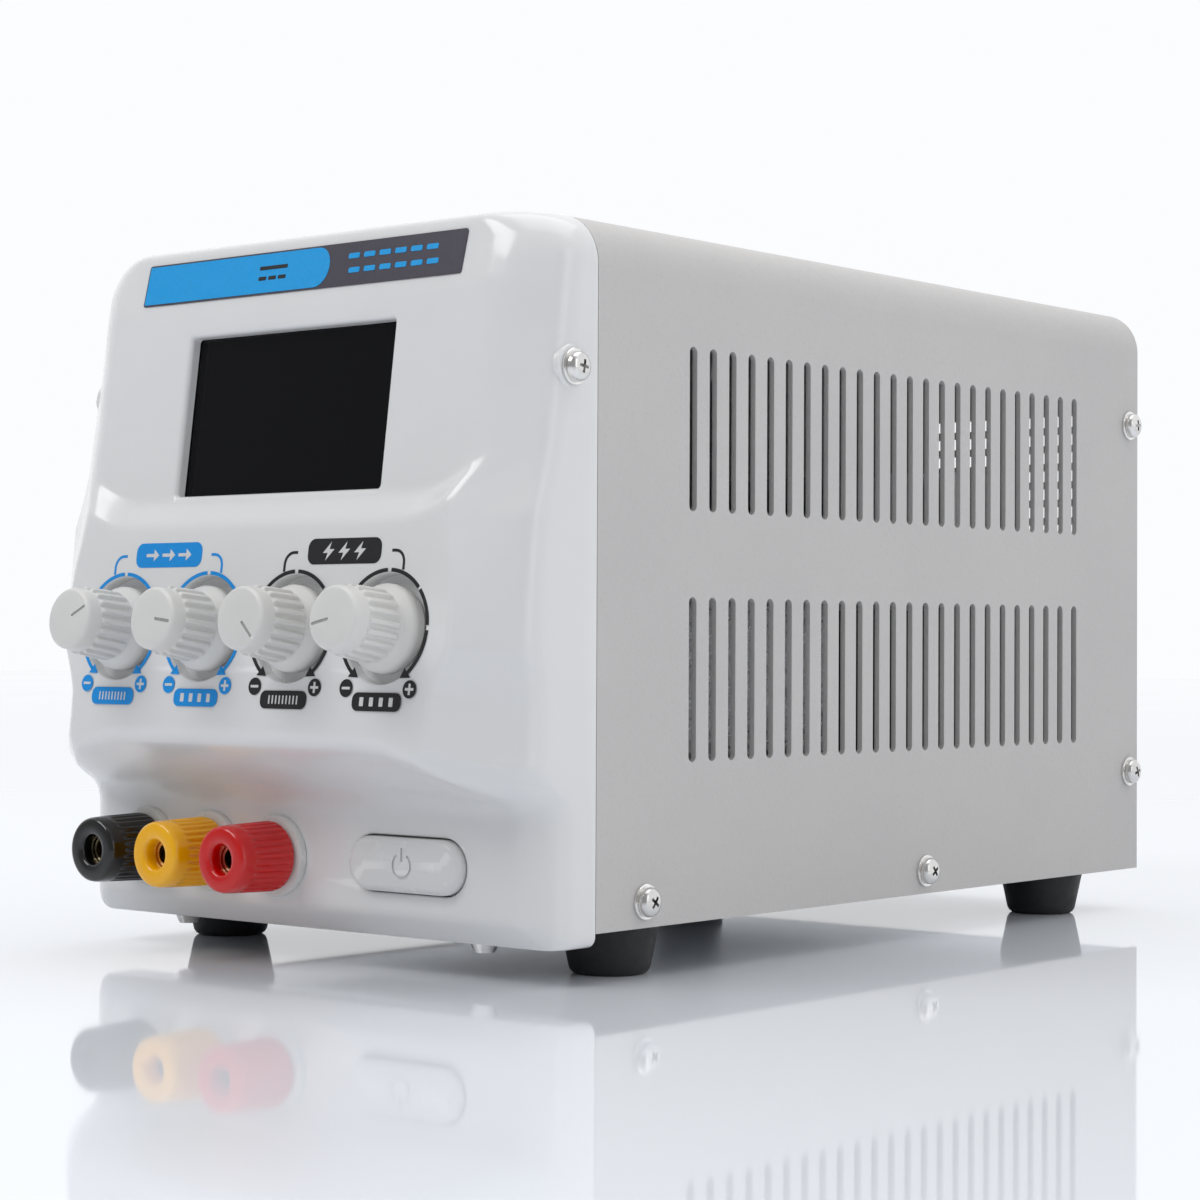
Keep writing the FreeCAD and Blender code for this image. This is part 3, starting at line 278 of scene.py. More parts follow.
def rubber(title):
    """Black rubber with a matte skin and scuffed edges."""
    nodes = Nodes(title)
    scuffs_and_sheen = nodes.edges(0.52, 0.60)
    base = nodes.mix(scuffs_and_sheen, rgb(0.010, 0.010, 0.011), rgb(0.035, 0.034, 0.033))
    grain = nodes.noise(1300.0, 4.0)
    return nodes.set(Base_Color=base, Roughness=nodes.spread(nodes.noise(500.0), 0.45, 0.62),
                     Normal=nodes.bump(grain, 0.00004, 0.6))


# slot: maker, colour and shade, then the maker's own values in their order
SLOT_LOOKS = {
    "cover_paint": (painted, (0.60, 0.585, 0.57), (0.575, 0.56, 0.548)),
    "zinc_sheet": (metal, (0.55, 0.56, 0.57), (0.42, 0.43, 0.45), (0.28, 0.45), (1, 8, 1)),
    "bezel_white": (moulded, (0.80, 0.80, 0.80), (0.785, 0.785, 0.785), (0.16, 0.22), 700.0, 0.000012, 0.3),
    "screen_glass": (screen_glass,),
    "screen_module": (moulded, (0.03, 0.03, 0.03), (0.05, 0.05, 0.05)),
    "circuit_board": (board,),
    "nameplate_film": (printed, (0.062, 0.055, 0.075)),
    "knob_ivory": (moulded, (0.74, 0.735, 0.71), (0.71, 0.70, 0.68), (0.30, 0.42), 1300.0, 0.00003),
    "steel_bright": (metal, (0.80, 0.79, 0.77), (0.62, 0.61, 0.60), (0.14, 0.26), (1, 1, 1), 1500.0),
    "brass_plated": (metal, (0.80, 0.66, 0.38), (0.66, 0.52, 0.28), (0.16, 0.28)),
    "insulator_white": (moulded, (0.72, 0.72, 0.70), (0.66, 0.66, 0.64), (0.25, 0.38)),
    "cap_black": (moulded, (0.003, 0.003, 0.003), (0.006, 0.006, 0.006), (0.12, 0.24), 900.0, 0.00002, 0.4),
    "cap_yellow": (moulded, (1.0, 0.50, 0.0), (0.96, 0.46, 0.0), (0.16, 0.28), 900.0, 0.00002, 0.3, 0.2),
    "cap_red": (moulded, (0.68, 0.002, 0.002), (0.60, 0.001, 0.001), (0.14, 0.26), 900.0, 0.00002, 0.3, 0.3),
    "button_white": (moulded, (0.74, 0.735, 0.735), (0.71, 0.705, 0.705), (0.2, 0.3), 800.0, 0.00002, 0.2),
    "rubber_black": (rubber,),
    "black_plastic": (moulded, (0.014, 0.014, 0.014), (0.022, 0.022, 0.022), (0.32, 0.5)),
    "core_steel": (laminated,),
    "winding_tape": (metal, (0.62, 0.62, 0.63), (0.40, 0.40, 0.42), (0.18, 0.40), (1, 1, 3), 160.0, 0.0008),
    "relay_blue": (moulded, (0.02, 0.10, 0.36), (0.02, 0.08, 0.30), (0.3, 0.4)),
    "sink_aluminium": (metal, (0.62, 0.63, 0.64), (0.52, 0.53, 0.55), (0.28, 0.42), (1, 1, 12)),
    "lead_insulation": (moulded, (0.36, 0.01, 0.01), (0.28, 0.008, 0.008), (0.35, 0.5)),
}
SLOT_MATERIALS = {slot: maker(slot, *values) for slot, (maker, *values) in SLOT_LOOKS.items()}
INK_BLUE = printed("ink_blue", (0.0, 0.30, 0.80))
INK_BLACK = printed("ink_black", (0.012, 0.011, 0.014))
INK_WHITE = printed("ink_white", (0.74, 0.74, 0.74))
POINTER_GREY = printed("pointer_grey", (0.42, 0.41, 0.40))
PLATE_BLUE = printed("plate_blue", (0.0, 0.36, 0.82))


def dress_frame():
    """Every CAD node gets its slot's material."""
    for part in record["subparts"]:
        node = frame["nodes"][part["node"]]
        node.data.materials.clear()
        node.data.materials.append(SLOT_MATERIALS[part["material_slot"]])


# ------------------------------------------------------------------ mesh tools
def soften(mesh, degrees=32.0):
    """Smooth faces, with creases sharper than an angle kept crisp."""
    work = bmesh.new()
    work.from_mesh(mesh)
    bmesh.ops.recalc_face_normals(work, faces=work.faces)
    for face in work.faces:
        face.smooth = True
    limit = math.radians(degrees)
    for edge in work.edges:
        edge.smooth = len(edge.link_faces) == 2 and edge.calc_face_angle(0.0) < limit
    work.to_mesh(mesh)
    work.free()


def new_object(title, work, material, degrees=32.0):
    """Object from a bmesh, which is freed."""
    mesh = bpy.data.meshes.new(title)
    bmesh.ops.remove_doubles(work, verts=work.verts, dist=1e-7)
    work.to_mesh(mesh)
    work.free()
    soften(mesh, degrees)
    mesh.materials.append(material)
    item = bpy.data.objects.new(title, mesh)
    scene.collection.objects.link(item)
    return item


def piece(item, body, slot, *replaced):
    """Attach a finished piece to its body and hide the frame parts it replaces."""
    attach(item, body)
    if replaced:
        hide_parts(*replaced)
    return item


def carve(item, tools, operation="DIFFERENCE"):
    """Boolean an object with several others, which are then removed."""
    for tool in tools:
        modifier = item.modifiers.new("cut", "BOOLEAN")
        modifier.operation = operation
        modifier.solver = "EXACT"
        modifier.object = tool
    depsgraph = bpy.context.evaluated_depsgraph_get()
    mesh = bpy.data.meshes.new_from_object(item.evaluated_get(depsgraph))
    item.modifiers.clear()
    work = bmesh.new()
    work.from_mesh(mesh)
    bmesh.ops.remove_doubles(work, verts=work.verts, dist=2e-6)
    bmesh.ops.dissolve_degenerate(work, edges=work.edges, dist=2e-6)
    work.to_mesh(mesh)
    work.free()
    item.data = mesh
    for tool in tools:
        bpy.data.objects.remove(tool)
    return item


def metres(points):
    """Pairs of millimetres turned into metres."""
    return [(first * MM, second * MM) for first, second in points]


def outline_ring(work, matrix, outline, height):
    """Vertices along an outline, at a height over the matrix's XY plane."""
    return [work.verts.new(matrix @ Vector((x, y, height))) for x, y in outline]


def skin(work, rings):
    """Closed surface through rings of equally many vertices, flat at both ends."""
    for low, high in zip(rings, rings[1:]):
        for number in range(len(low)):
            following = (number + 1) % len(low)
            work.faces.new((low[number], low[following], high[following], high[number]))
    work.faces.new(rings[0][::-1])
    work.faces.new(rings[-1])


def lathe(work, profile, matrix, segments=64, wave=None):
    """Surface of revolution about the matrix's +Z; wave(angle, radius, height) may change a radius."""
    rings = []
    for radius, height in profile:
        if radius < 1e-9:
            rings.append([work.verts.new(matrix @ Vector((0, 0, height)))])
            continue
        ring = []
        for number in range(segments):
            angle = 2 * math.pi * number / segments
            reach = wave(angle, radius, height) if wave else radius
            place = Vector((reach * math.cos(angle), reach * math.sin(angle), height))
            ring.append(work.verts.new(matrix @ place))
        rings.append(ring)
    for low, high in zip(rings, rings[1:]):
        for number in range(segments):
            following = (number + 1) % segments
            if len(low) == 1 and len(high) > 1:
                work.faces.new((low[0], high[number], high[following]))
            elif len(high) == 1 and len(low) > 1:
                work.faces.new((low[number], high[0], low[following]))
            elif len(low) > 1:
                work.faces.new((low[number], high[number], high[following], low[following]))


def rounded(points, radii, steps=5):
    """Outline through points with each corner rounded by its radius."""
    result = []
    for number, point in enumerate(points):
        radius = radii[number]
        if radius <= 0 or number in (0, len(points) - 1):
            result.append(tuple(point))
            continue
        corner = np.array(point, float)
        before = np.array(points[number - 1], float) - corner
        after = np.array(points[number + 1], float) - corner
        before_length, after_length = np.linalg.norm(before), np.linalg.norm(after)
        before, after = before / before_length, after / after_length
        half_turn = math.acos(np.clip(before @ after, -1, 1)) / 2
        back = min(radius / math.tan(half_turn), 0.49 * before_length, 0.49 * after_length)
        for step in range(steps + 1):
            share = step / steps
            first = corner + before * back * (1 - share)
            second = corner + after * back * share
            result.append(tuple(first * (1 - share) + second * share))
    return result


def extrude_outline(work, outline, matrix, low, high):
    """Flat shape with thickness: an outline in the matrix's XY plane between two heights."""
    skin(work, [outline_ring(work, matrix, outline, height) for height in (low, high)])


def stadium(length, tall, steps=14):
    """Bar outline with round ends."""
    radius = tall / 2
    reach = length / 2 - radius
    points = []
    for sign in (1, -1):
        for step in range(steps + 1):
            angle = -math.pi / 2 * sign + math.pi * step / steps
            points.append((sign * reach + radius * math.cos(angle), radius * math.sin(angle)))
    return points


def rounded_box(width, tall, radius, centre=(0.0, 0.0), steps=6):
    """Rectangle outline with round corners."""
    points = []
    for quarter, (sx, sy) in enumerate(((1, 1), (-1, 1), (-1, -1), (1, -1))):
        middle = (centre[0] + sx * (width / 2 - radius), centre[1] + sy * (tall / 2 - radius))
        for step in range(steps + 1):
            angle = math.pi / 2 * (quarter + step / steps)
            points.append((middle[0] + radius * math.cos(angle), middle[1] + radius * math.sin(angle)))
    return points


def ring_piece(work, matrix, radius, width, start, end, low, high, steps=16):
    """Arc band; angles in degrees, clockwise from the top."""
    outer = []
    inner = []
    for step in range(steps + 1):
        angle = math.radians(start + (end - start) * step / steps)
        outer.append((radius * math.sin(angle), radius * math.cos(angle)))
        inner.append(((radius - width) * math.sin(angle), (radius - width) * math.cos(angle)))
    extrude_outline(work, outer + inner[::-1], matrix, low, high)


# ------------------------------------------------------------------ front moulding
# radii of the front outline's corners
CORNER_TOP = 10.0 * MM
CORNER_LOW = 2.2 * MM
# heights where the middle section turns, upwards from the terminal panel
SHELF = 35.0 * MM
LIP = 44.6 * MM
SHOULDER = 87.4 * MM
SCREEN_FOOT = 92.6 * MM
CREASE = 131.0 * MM
# depths in front of the seam at the screen's foot and at the crease, and the brow's lean
SCREEN_DEPTH = 21.5 * MM
CREASE_DEPTH = 16.5 * MM
BROW_SLOPE = 2.6 / 11.0
BEZEL_WALL = 2.6 * MM
SEAM_BREAK = 0.25 * MM      # chamfer along the edge that meets the cover


def middle_profile():
    """Height and depth samples of the moulding's middle section."""
    brow_depth = CREASE_DEPTH - (TOP - CREASE) * BROW_SLOPE
    points = [(BOTTOM, TERMINAL_DEPTH - 4.4 * MM), (BOTTOM + 0.2 * MM, TERMINAL_DEPTH - 4.2 * MM),
              (BOTTOM + 4.8 * MM, TERMINAL_DEPTH), (SHELF, TERMINAL_DEPTH),
              (LIP, knob_depth(LIP) - 0.2 * MM), (SHOULDER, knob_depth(SHOULDER)),
              (SCREEN_FOOT, SCREEN_DEPTH), (CREASE, CREASE_DEPTH),
              (TOP - 0.2 * MM, brow_depth), (TOP, brow_depth - 4 * MM)]
    radii = [0, 1 * MM, 3 * MM, 7 * MM, 5.5 * MM, 4 * MM, 4 * MM, 3 * MM, 5.0 * MM, 0]
    outline = rounded(points, radii, 8)
    return np.array([point[0] for point in outline]), np.array([point[1] for point in outline])


PROFILE_HEIGHTS, PROFILE_DEPTHS = middle_profile()

# height, and how far in front of the seam the sloping flank would meet the side plane
FLANK = np.array([(7.0, 9.6), (30.7, 9.6), (36.0, 11.0), (42.0, 15.6), (48.8, 18.0), (55.5, 17.0),
                  (62.9, 18.9), (70.2, 18.4), (76.0, 16.8), (80.9, 15.0), (87.4, 13.2), (103.3, 10.6),
                  (116.1, 9.2), (128.9, 8.2), (141.0, 6.6), (146.0, 5.6)]) * MM
FLANK_RISE = 1.19           # margin from the side plane per unit of depth
FLANK_SLOPE = 1 / FLANK_RISE
FLANK_RADIUS = 9.0 * MM
FLANK_TURN = math.atan(FLANK_RISE)
# height and blending radius between flank and front
BLEND = np.array([(7.0, 3.0), (34.0, 3.0), (44.0, 1.2), (55.0, 0.6), (80.0, 0.6), (90.0, 1.6),
                  (100.0, 3.2), (146.0, 3.6)]) * MM


def smallest(first, second, blend):
    """Smooth minimum of two arrays."""
    share = np.clip(0.5 + 0.5 * (second - first) / blend, 0, 1)
    return second + (first - second) * share - blend * share * (1 - share)


def climbed(height, x):
    """Height looked up in the profile: the shoulder climbs and the overhang droops towards the sides."""
    reach = np.abs(x)
    rise = 14 * MM * np.clip((reach - 38 * MM) / (27.5 * MM), 0, 1) ** 1.7
    rise *= np.clip((height - 70 * MM) / (18 * MM), 0, 1) * np.clip((140 * MM - height) / (25 * MM), 0, 1)
    droop = 8.5 * MM * np.clip((reach - 32 * MM) / (30 * MM), 0, 1) ** 1.5
    droop *= np.clip((58 * MM - height) / (14 * MM), 0, 1) * np.clip((height - 33 * MM) / (9 * MM), 0, 1)
    return height - rise + droop


def half_width(height, inset):
    """Half width of the moulding at a height, with its rounded upper and lower corners."""
    width = HALF - inset
    top, bottom = TOP - inset, BOTTOM + inset
    upper, lower = CORNER_TOP - inset, max(CORNER_LOW - inset, 1 * MM)
    if height > top - upper:
        return width - upper + math.sqrt(max(upper ** 2 - (height - top + upper) ** 2, 0))
    if height < bottom + lower:
        return width - lower + math.sqrt(max(lower ** 2 - (bottom + lower - height) ** 2, 0))
    return width


def front_row(height, inset, columns):
    """Points (x, depth) along one horizontal section, from the right seam edge to the middle."""
    wide = half_width(height, inset)
    turn = np.linspace(0, FLANK_TURN, 9)
    corner = FLANK_RADIUS * (1 - np.cos(turn))
    inner = np.linspace(corner[-1], 26 * MM, columns)[1:]
    margin = np.concatenate([corner, inner, np.linspace(26 * MM, wide, columns // 4)[1:]])
    x = wide - margin
    looked_up = climbed(height, x)
    meet = np.interp(looked_up, FLANK[:, 0], FLANK[:, 1])
    set_back = FLANK_RADIUS * math.tan(FLANK_TURN / 2)
    round_part = meet - set_back + np.sqrt(np.clip(2 * FLANK_RADIUS * margin - margin ** 2, 0, None))
    flank = np.where(margin < corner[-1], round_part, meet + margin * FLANK_SLOPE)
    blend = np.interp(height, BLEND[:, 0], BLEND[:, 1])
    depth = smallest(flank, np.interp(looked_up, PROFILE_HEIGHTS, PROFILE_DEPTHS), blend)
    limit = np.interp(height, PROFILE_HEIGHTS, PROFILE_DEPTHS) + 3 * MM
    depth = np.where(height > SHOULDER, np.minimum(depth, limit), depth) - inset
    depth = np.maximum(depth, 0.6 * MM)
    flat = np.linspace(0, depth[0], 6)[:-1]
    return np.concatenate([np.full(5, wide), x]), np.concatenate([flat, depth])


def bezel_mesh(inset, step, columns, back=0.0):
    """Closed form of the moulding, or of its hollow, which is inset and reaches back past the seam."""
    top, bottom = TOP - inset, BOTTOM + inset
    upper = CORNER_TOP - inset
    heights = [bottom + CORNER_LOW * (1 - math.cos(math.pi / 2 * n / 8)) for n in range(8)]
    heights += list(np.arange(bottom + CORNER_LOW, top - upper, step))
    heights += [top - upper + upper * math.sin(math.pi / 2 * n / 18) for n in range(19)]
    rows = [front_row(height, inset, columns) for height in heights]
    work = bmesh.new()
    grid = []
    for height, (x, depth) in zip(heights, rows):
        half = [(a, SEAM - d) for a, d in zip(x, depth)]
        if inset:
            half[0] = (half[0][0], SEAM + back)
        else:
            half[0] = (half[0][0] - SEAM_BREAK, SEAM)
            half[1] = (half[1][0], SEAM - SEAM_BREAK)
        line = half + [(-a, y) for a, y in half[-2::-1]]
        grid.append([work.verts.new((a, y, height)) for a, y in line])
    for low, high in zip(grid, grid[1:]):
        for number in range(len(low) - 1):
            work.faces.new((low[number], low[number + 1], high[number + 1], high[number]))
        work.faces.new((low[-1], low[0], high[0], high[-1]))
    work.faces.new(grid[0][::-1])
    work.faces.new(grid[-1])
    bmesh.ops.recalc_face_normals(work, faces=work.faces)
    return work


def flared_cutter(matrix, outline_at, steps, title):
    """Cutter whose outline grows towards the front: steps are (growth, height) pairs."""
    work = bmesh.new()
    skin(work, [outline_ring(work, matrix, outline_at(growth), height) for growth, height in steps])
    return new_object(title, work, INK_WHITE)


def circle_outline(radius):
    """Function giving a circle grown by a margin."""
    return lambda growth: [((radius + growth) * math.cos(2 * math.pi * n / 72),
                            (radius + growth) * math.sin(2 * math.pi * n / 72)) for n in range(72)]


RIM_TURN = 72.0             # degrees of a rim's round, which then runs on straight through the surface
RIM_RUN = 0.9 * MM
CUT_PAST = 6 * MM


def rim_steps(radius, depth):
    """Growth and height pairs of a rounded rim over a straight wall."""
    steps = [(0.0, -depth)]
    for n in range(7):
        angle = math.radians(RIM_TURN) * n / 6
        steps.append((radius * (1 - math.cos(angle)), -radius + radius * math.sin(angle)))
    growth, height = steps[-1]
    steps.append((growth + RIM_RUN, height + RIM_RUN * math.tan(math.radians(90 - RIM_TURN))))
    steps.append((growth + RIM_RUN, CUT_PAST))
    return steps


WINDOW_LOW, WINDOW_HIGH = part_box("display_window")
WINDOW_SLOPE = (SCREEN_DEPTH - CREASE_DEPTH) / (CREASE - SCREEN_FOOT)
WINDOW_MIDDLE = (WINDOW_LOW.z + WINDOW_HIGH.z) / 2 - 0.55 * MM
WINDOW_WIDE, WINDOW_TALL = 57.6 * MM, 33.0 * MM
WELL_RADIUS = 10.5 * MM
WELL_DEPTH = 3.0 * MM
WELL_WALL = 1.8 * MM
BUSH_RADIUS = 3.5 * MM
POST_RADIUS = 4.0 * MM
SCREW_RADIUS = 1.6 * MM
BUTTON_GAP = 0.6 * MM       # of the opening's length and height over the button's


def window_frame():
    """Frame on the screen face, centred on the window."""
    lean = math.atan(WINDOW_SLOPE)
    depth = SCREEN_DEPTH - (WINDOW_MIDDLE - SCREEN_FOOT) * WINDOW_SLOPE
    return axis_frame((0, SEAM - depth, WINDOW_MIDDLE), (0, -math.cos(lean), math.sin(lean)))


def well_bosses():
    """Seats that close the hollow behind the knob wells."""
    radius = WELL_RADIUS + WELL_WALL
    bosses = []
    for matrix in KNOB_FRAMES.values():
        work = bmesh.new()
        lathe(work, [(0, -5.0 * MM), (radius, -5.0 * MM), (radius, -1.0 * MM), (0, -1.0 * MM)], matrix, 72)
        bosses.append(new_object("boss", work, INK_WHITE))
    return bosses


def side_frame(sign, reach):
    """Frame pointing out of one side at the moulding's screw, at a distance from the middle."""
    matrix = Matrix.Rotation(math.radians(90 * sign), 4, "Y")
    matrix.translation = (sign * reach, SIDE_SCREWS[-1][0], SIDE_SCREWS[-1][1])
    return matrix


def screw_bosses():
    """Round seats that carry the washers of the moulding's side screws."""
    outline = [(0, -7.0), (4.4, -7.0), (4.4, -0.35), (4.15, -0.05), (0, -0.05)]
    bosses = []
    for sign in (-1, 1):
        work = bmesh.new()
        lathe(work, metres(outline), side_frame(sign, HALF), 48)
        bosses.append(new_object("screw_boss", work, INK_WHITE))
    return bosses


def window_outline(growth):
    """Screen opening grown by a margin."""
    return rounded_box(WINDOW_WIDE + 2 * growth, WINDOW_TALL + 2 * growth, 0.8 * MM + growth)


def button_outline(growth):
    """Button opening grown by a margin."""
    return stadium(BUTTON_LENGTH + BUTTON_GAP + 2 * growth, BUTTON_TALL + BUTTON_GAP + 2 * growth)


def make_bezel():
    """Sculpted moulding with its hollow, wells, window and openings."""
    shell = new_object("front_moulding", bezel_mesh(0.0, 0.9 * MM, 32), SLOT_MATERIALS["bezel_white"])
    carve(shell, [new_object("hollow", bezel_mesh(BEZEL_WALL, 2.0 * MM, 12, 5 * MM), INK_WHITE)])
    carve(shell, well_bosses() + screw_bosses(), "UNION")
    tools = []
    well, bush, post, screw = (circle_outline(r) for r in (WELL_RADIUS, BUSH_RADIUS, POST_RADIUS, SCREW_RADIUS))
    for matrix in KNOB_FRAMES.values():
        tools.append(flared_cutter(matrix, well, rim_steps(0.7 * MM, WELL_DEPTH), "well"))
        tools.append(flared_cutter(matrix, bush, [(0, -8 * MM), (0, -1 * MM)], "bush_hole"))
    for matrix in POST_FRAMES.values():
        tools.append(flared_cutter(matrix, post, [(0, -6 * MM), (0, 4 * MM)], "post_hole"))
    tools.append(flared_cutter(window_frame(), window_outline, rim_steps(1.1 * MM, 8 * MM), "window_cut"))
    button = axis_frame((BUTTON_CENTRE.x, SEAM - TERMINAL_DEPTH, BUTTON_CENTRE.z), (0, -1, 0))
    tools.append(flared_cutter(button, button_outline, rim_steps(0.4 * MM, 6 * MM), "button_cut"))
    for sign in (-1, 1):
        matrix = side_frame(sign, HALF + 3 * MM)
        tools.append(flared_cutter(matrix, screw, [(0, -8 * MM), (0, 2 * MM)], "screw_hole"))
    carve(shell, tools)
    soften(shell.data, 28.0)
    piece(shell, "chassis", "bezel_white", "front_bezel")


# ------------------------------------------------------------------ button
BUTTON_LOW, BUTTON_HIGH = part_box("power_button")
BUTTON_CENTRE = (BUTTON_LOW + BUTTON_HIGH) / 2
BUTTON_FLANGE = 3.0 * MM     # the flange's length and height over the button's
BUTTON_LENGTH = BUTTON_HIGH.x - BUTTON_LOW.x - BUTTON_FLANGE
BUTTON_TALL = BUTTON_HIGH.z - BUTTON_LOW.z - BUTTON_FLANGE
BUTTON_ROUND = 1.4 * MM
SIGN_SUNK = -0.35 * MM


def make_button():
    """Pillowed push button with a standby sign sunk in its face."""
    matrix = axis_frame((BUTTON_CENTRE.x, BUTTON_LOW.y, BUTTON_CENTRE.z), (0, -1, 0))
    rings = [(BUTTON_FLANGE, -6.4 * MM), (BUTTON_FLANGE, -4.95 * MM), (0.0, -4.9 * MM), (0.0, -BUTTON_ROUND)]
    for n in range(1, 9):
        angle = math.pi / 2 * n / 8
        growth = -2 * BUTTON_ROUND * (1 - math.cos(angle))
        rings.append((growth, -BUTTON_ROUND + BUTTON_ROUND * math.sin(angle)))
    rings.append((-8.0 * MM, 0.0))
    work = bmesh.new()
    skin(work, [outline_ring(work, matrix, stadium(BUTTON_LENGTH + growth, BUTTON_TALL + growth), height)
                for growth, height in rings])
    button = new_object("button_moulding", work, SLOT_MATERIALS["button_white"])
    sign_cut = bmesh.new()
    ring_piece(sign_cut, matrix, 2.6 * MM, 0.55 * MM, 35, 325, SIGN_SUNK, 0.5 * MM, 40)
    bar = rounded_box(0.6 * MM, 2.6 * MM, 0.25 * MM, (0, 2.1 * MM))
    extrude_outline(sign_cut, bar, matrix, SIGN_SUNK, 0.5 * MM)
    carve(button, [new_object("sign", sign_cut, INK_WHITE)])
    stem = bmesh.new()
    stem_end = BUTTON_LOW.y - BUTTON_HIGH.y
    extrude_outline(stem, rounded_box(5 * MM, 5 * MM, 0.4 * MM), matrix, stem_end, -6.0 * MM)
    carve(button, [new_object("stem", stem, INK_WHITE)], "UNION")
    soften(button.data, 40.0)
    piece(button, "button", "button_white", "power_button")


# ------------------------------------------------------------------ knobs
KNOB_RIBS = 20
RIBS_LOW, RIBS_HIGH = 2.6 * MM, 10.3 * MM
POINTER_MIDDLE = 3.2 * MM    # from the knob's axis


def knob_wave(angle, radius, height):
    """Raised ribs round the knob's barrel, with rounded ends."""
    if not RIBS_LOW < height < RIBS_HIGH:
        return radius
    fade = math.sqrt(min(1.0, (height - RIBS_LOW) / (0.8 * MM), (RIBS_HIGH - height) / (0.5 * MM)))
    rib = math.tanh(2.6 * math.cos(KNOB_RIBS * angle))
    return radius + fade * (0.06 + 0.36 * rib) * MM


def make_knobs():
    """Ivory knobs: flared skirt, ribbed barrel, smooth nose and a sunk pointer line."""
    outer = [(6.6, -2.5), (8.1, -2.5), (8.35, -2.2), (8.5, -0.8), (8.45, 0.2), (8.2, 0.9), (7.5, 1.7),
             (7.0, 2.1), (6.8, 2.5), (6.78, 2.9), (6.75, 3.3)]
    outer += [(6.75 - 0.3 * n / 7, 3.3 + 6.3 * n / 7) for n in range(1, 8)]
    outer += [(6.44, 9.8), (6.43, 10.0), (6.42, 10.15), (6.4, 10.25), (6.3, 10.35), (6.28, 11.0),
              (6.18, 12.9), (6.05, 13.3), (5.8, 13.58), (5.4, 13.7), (2.5, 13.7), (0, 13.7)]
    inner = [(3.0, 7.0), (3.0, 0.5), (6.4, 0.5), (6.6, 0.3)]
    profile = metres([(0, 7.0)] + inner + outer)
    for name, matrix in KNOB_FRAMES.items():
        work = bmesh.new()
        lathe(work, profile, matrix, KNOB_RIBS * 12, knob_wave)
        knob = new_object(f"knob_{name}_moulding", work, SLOT_MATERIALS["knob_ivory"], 40.0)
        turn = joints[f"{name}_turn"]["range_deg"][1] - TRAVEL
        pointed = matrix @ Matrix.Rotation(math.radians(-turn), 4, "Z")
        cut = bmesh.new()
        groove = rounded_box(0.62 * MM, 4.4 * MM, 0.3 * MM, (0, POINTER_MIDDLE))
        extrude_outline(cut, groove, pointed, 13.42 * MM, 15 * MM)
        carve(knob, [new_object("pointer_cut", cut, INK_WHITE)])
        soften(knob.data, 40.0)
        piece(knob, f"{name}_knob", "knob_ivory", f"knob_{name}")
        line = bmesh.new()
        ink = rounded_box(0.6 * MM, 4.36 * MM, 0.29 * MM, (0, POINTER_MIDDLE))
        extrude_outline(line, ink, pointed, 13.40 * MM, 13.5 * MM)
        piece(new_object(f"knob_{name}_pointer", line, POINTER_GREY), f"{name}_knob", "knob_ivory")


# ------------------------------------------------------------------ terminals
CAP_FLUTES = 30
FLUTES_LOW, FLUTES_HIGH = 2.4 * MM, 12.4 * MM
FLUTE_END = 0.6 * MM
FLUTE_DEPTH = 0.42 * MM
BARREL_LEAST = 6.3 * MM     # smaller radii are inside the cap and stay round


def cap_wave(angle, radius, height):
    """Fine flutes round a terminal cap."""
    if radius < BARREL_LEAST or not FLUTES_LOW < height < FLUTES_HIGH:
        return radius
    fade = min(1.0, (height - FLUTES_LOW) / FLUTE_END, (FLUTES_HIGH - height) / FLUTE_END)
    return radius - FLUTE_DEPTH * fade * (0.5 + 0.5 * math.cos(CAP_FLUTES * angle)) ** 1.5


def make_terminals():
    """Fluted caps, and collars that seat them on the panel."""
    bore = [(3.1, 4.2), (3.1, 2.0)]
    skirt = [(6.4, 2.0), (6.75, 2.15), (6.95, 2.4), (7.05, 2.9)]
    barrel = [(7.05 - 0.25 * n / 6, 2.9 + 9.0 * n / 6) for n in range(1, 7)]
    nose = [(6.78, 12.4), (6.72, 13.0), (6.62, 14.6), (6.45, 15.3), (6.1, 15.68), (5.6, 15.8), (4.2, 15.8),
            (3.5, 15.74), (3.15, 15.5), (2.95, 15.1), (2.8, 14.6), (2.8, 12.9), (3.1, 12.9), (3.1, 12.2),
            (4.45, 12.2), (4.45, 4.2), (3.1, 4.2)]
    profile = metres(bore + skirt + barrel + nose)
    slots = {"negative": "cap_black", "earth": "cap_yellow", "positive": "cap_red"}
    for name, matrix in POST_FRAMES.items():
        work = bmesh.new()
        lathe(work, profile, matrix, CAP_FLUTES * 8, cap_wave)
        cap = new_object(f"cap_{name}_moulding", work, SLOT_MATERIALS[slots[name]], 42.0)
        piece(cap, f"{name}_cap", slots[name], f"cap_{name}")
    work = bmesh.new()
    flange = [(3.0, -2.6), (4.0, -2.6), (4.0, 0.0), (8.0, 0.0), (8.2, 0.2), (8.2, 1.0), (8.0, 1.4),
              (7.6, 1.6), (3.0, 1.6), (3.0, -2.6)]
    washer = [(3.0, -4.2), (6.8, -4.2), (7.0, -4.0), (7.0, -2.6), (3.0, -2.6), (3.0, -4.2)]
    for matrix in POST_FRAMES.values():
        for outline in (flange, washer):
            lathe(work, metres(outline), matrix, 64)
    collars = new_object("post_collars", work, SLOT_MATERIALS["insulator_white"])
    piece(collars, "chassis", "insulator_white", "post_insulators")


# ------------------------------------------------------------------ printed marks
INK_LOW = -0.02 * MM
INK_HIGH = 0.045 * MM
ICON_HIGH = 0.09 * MM
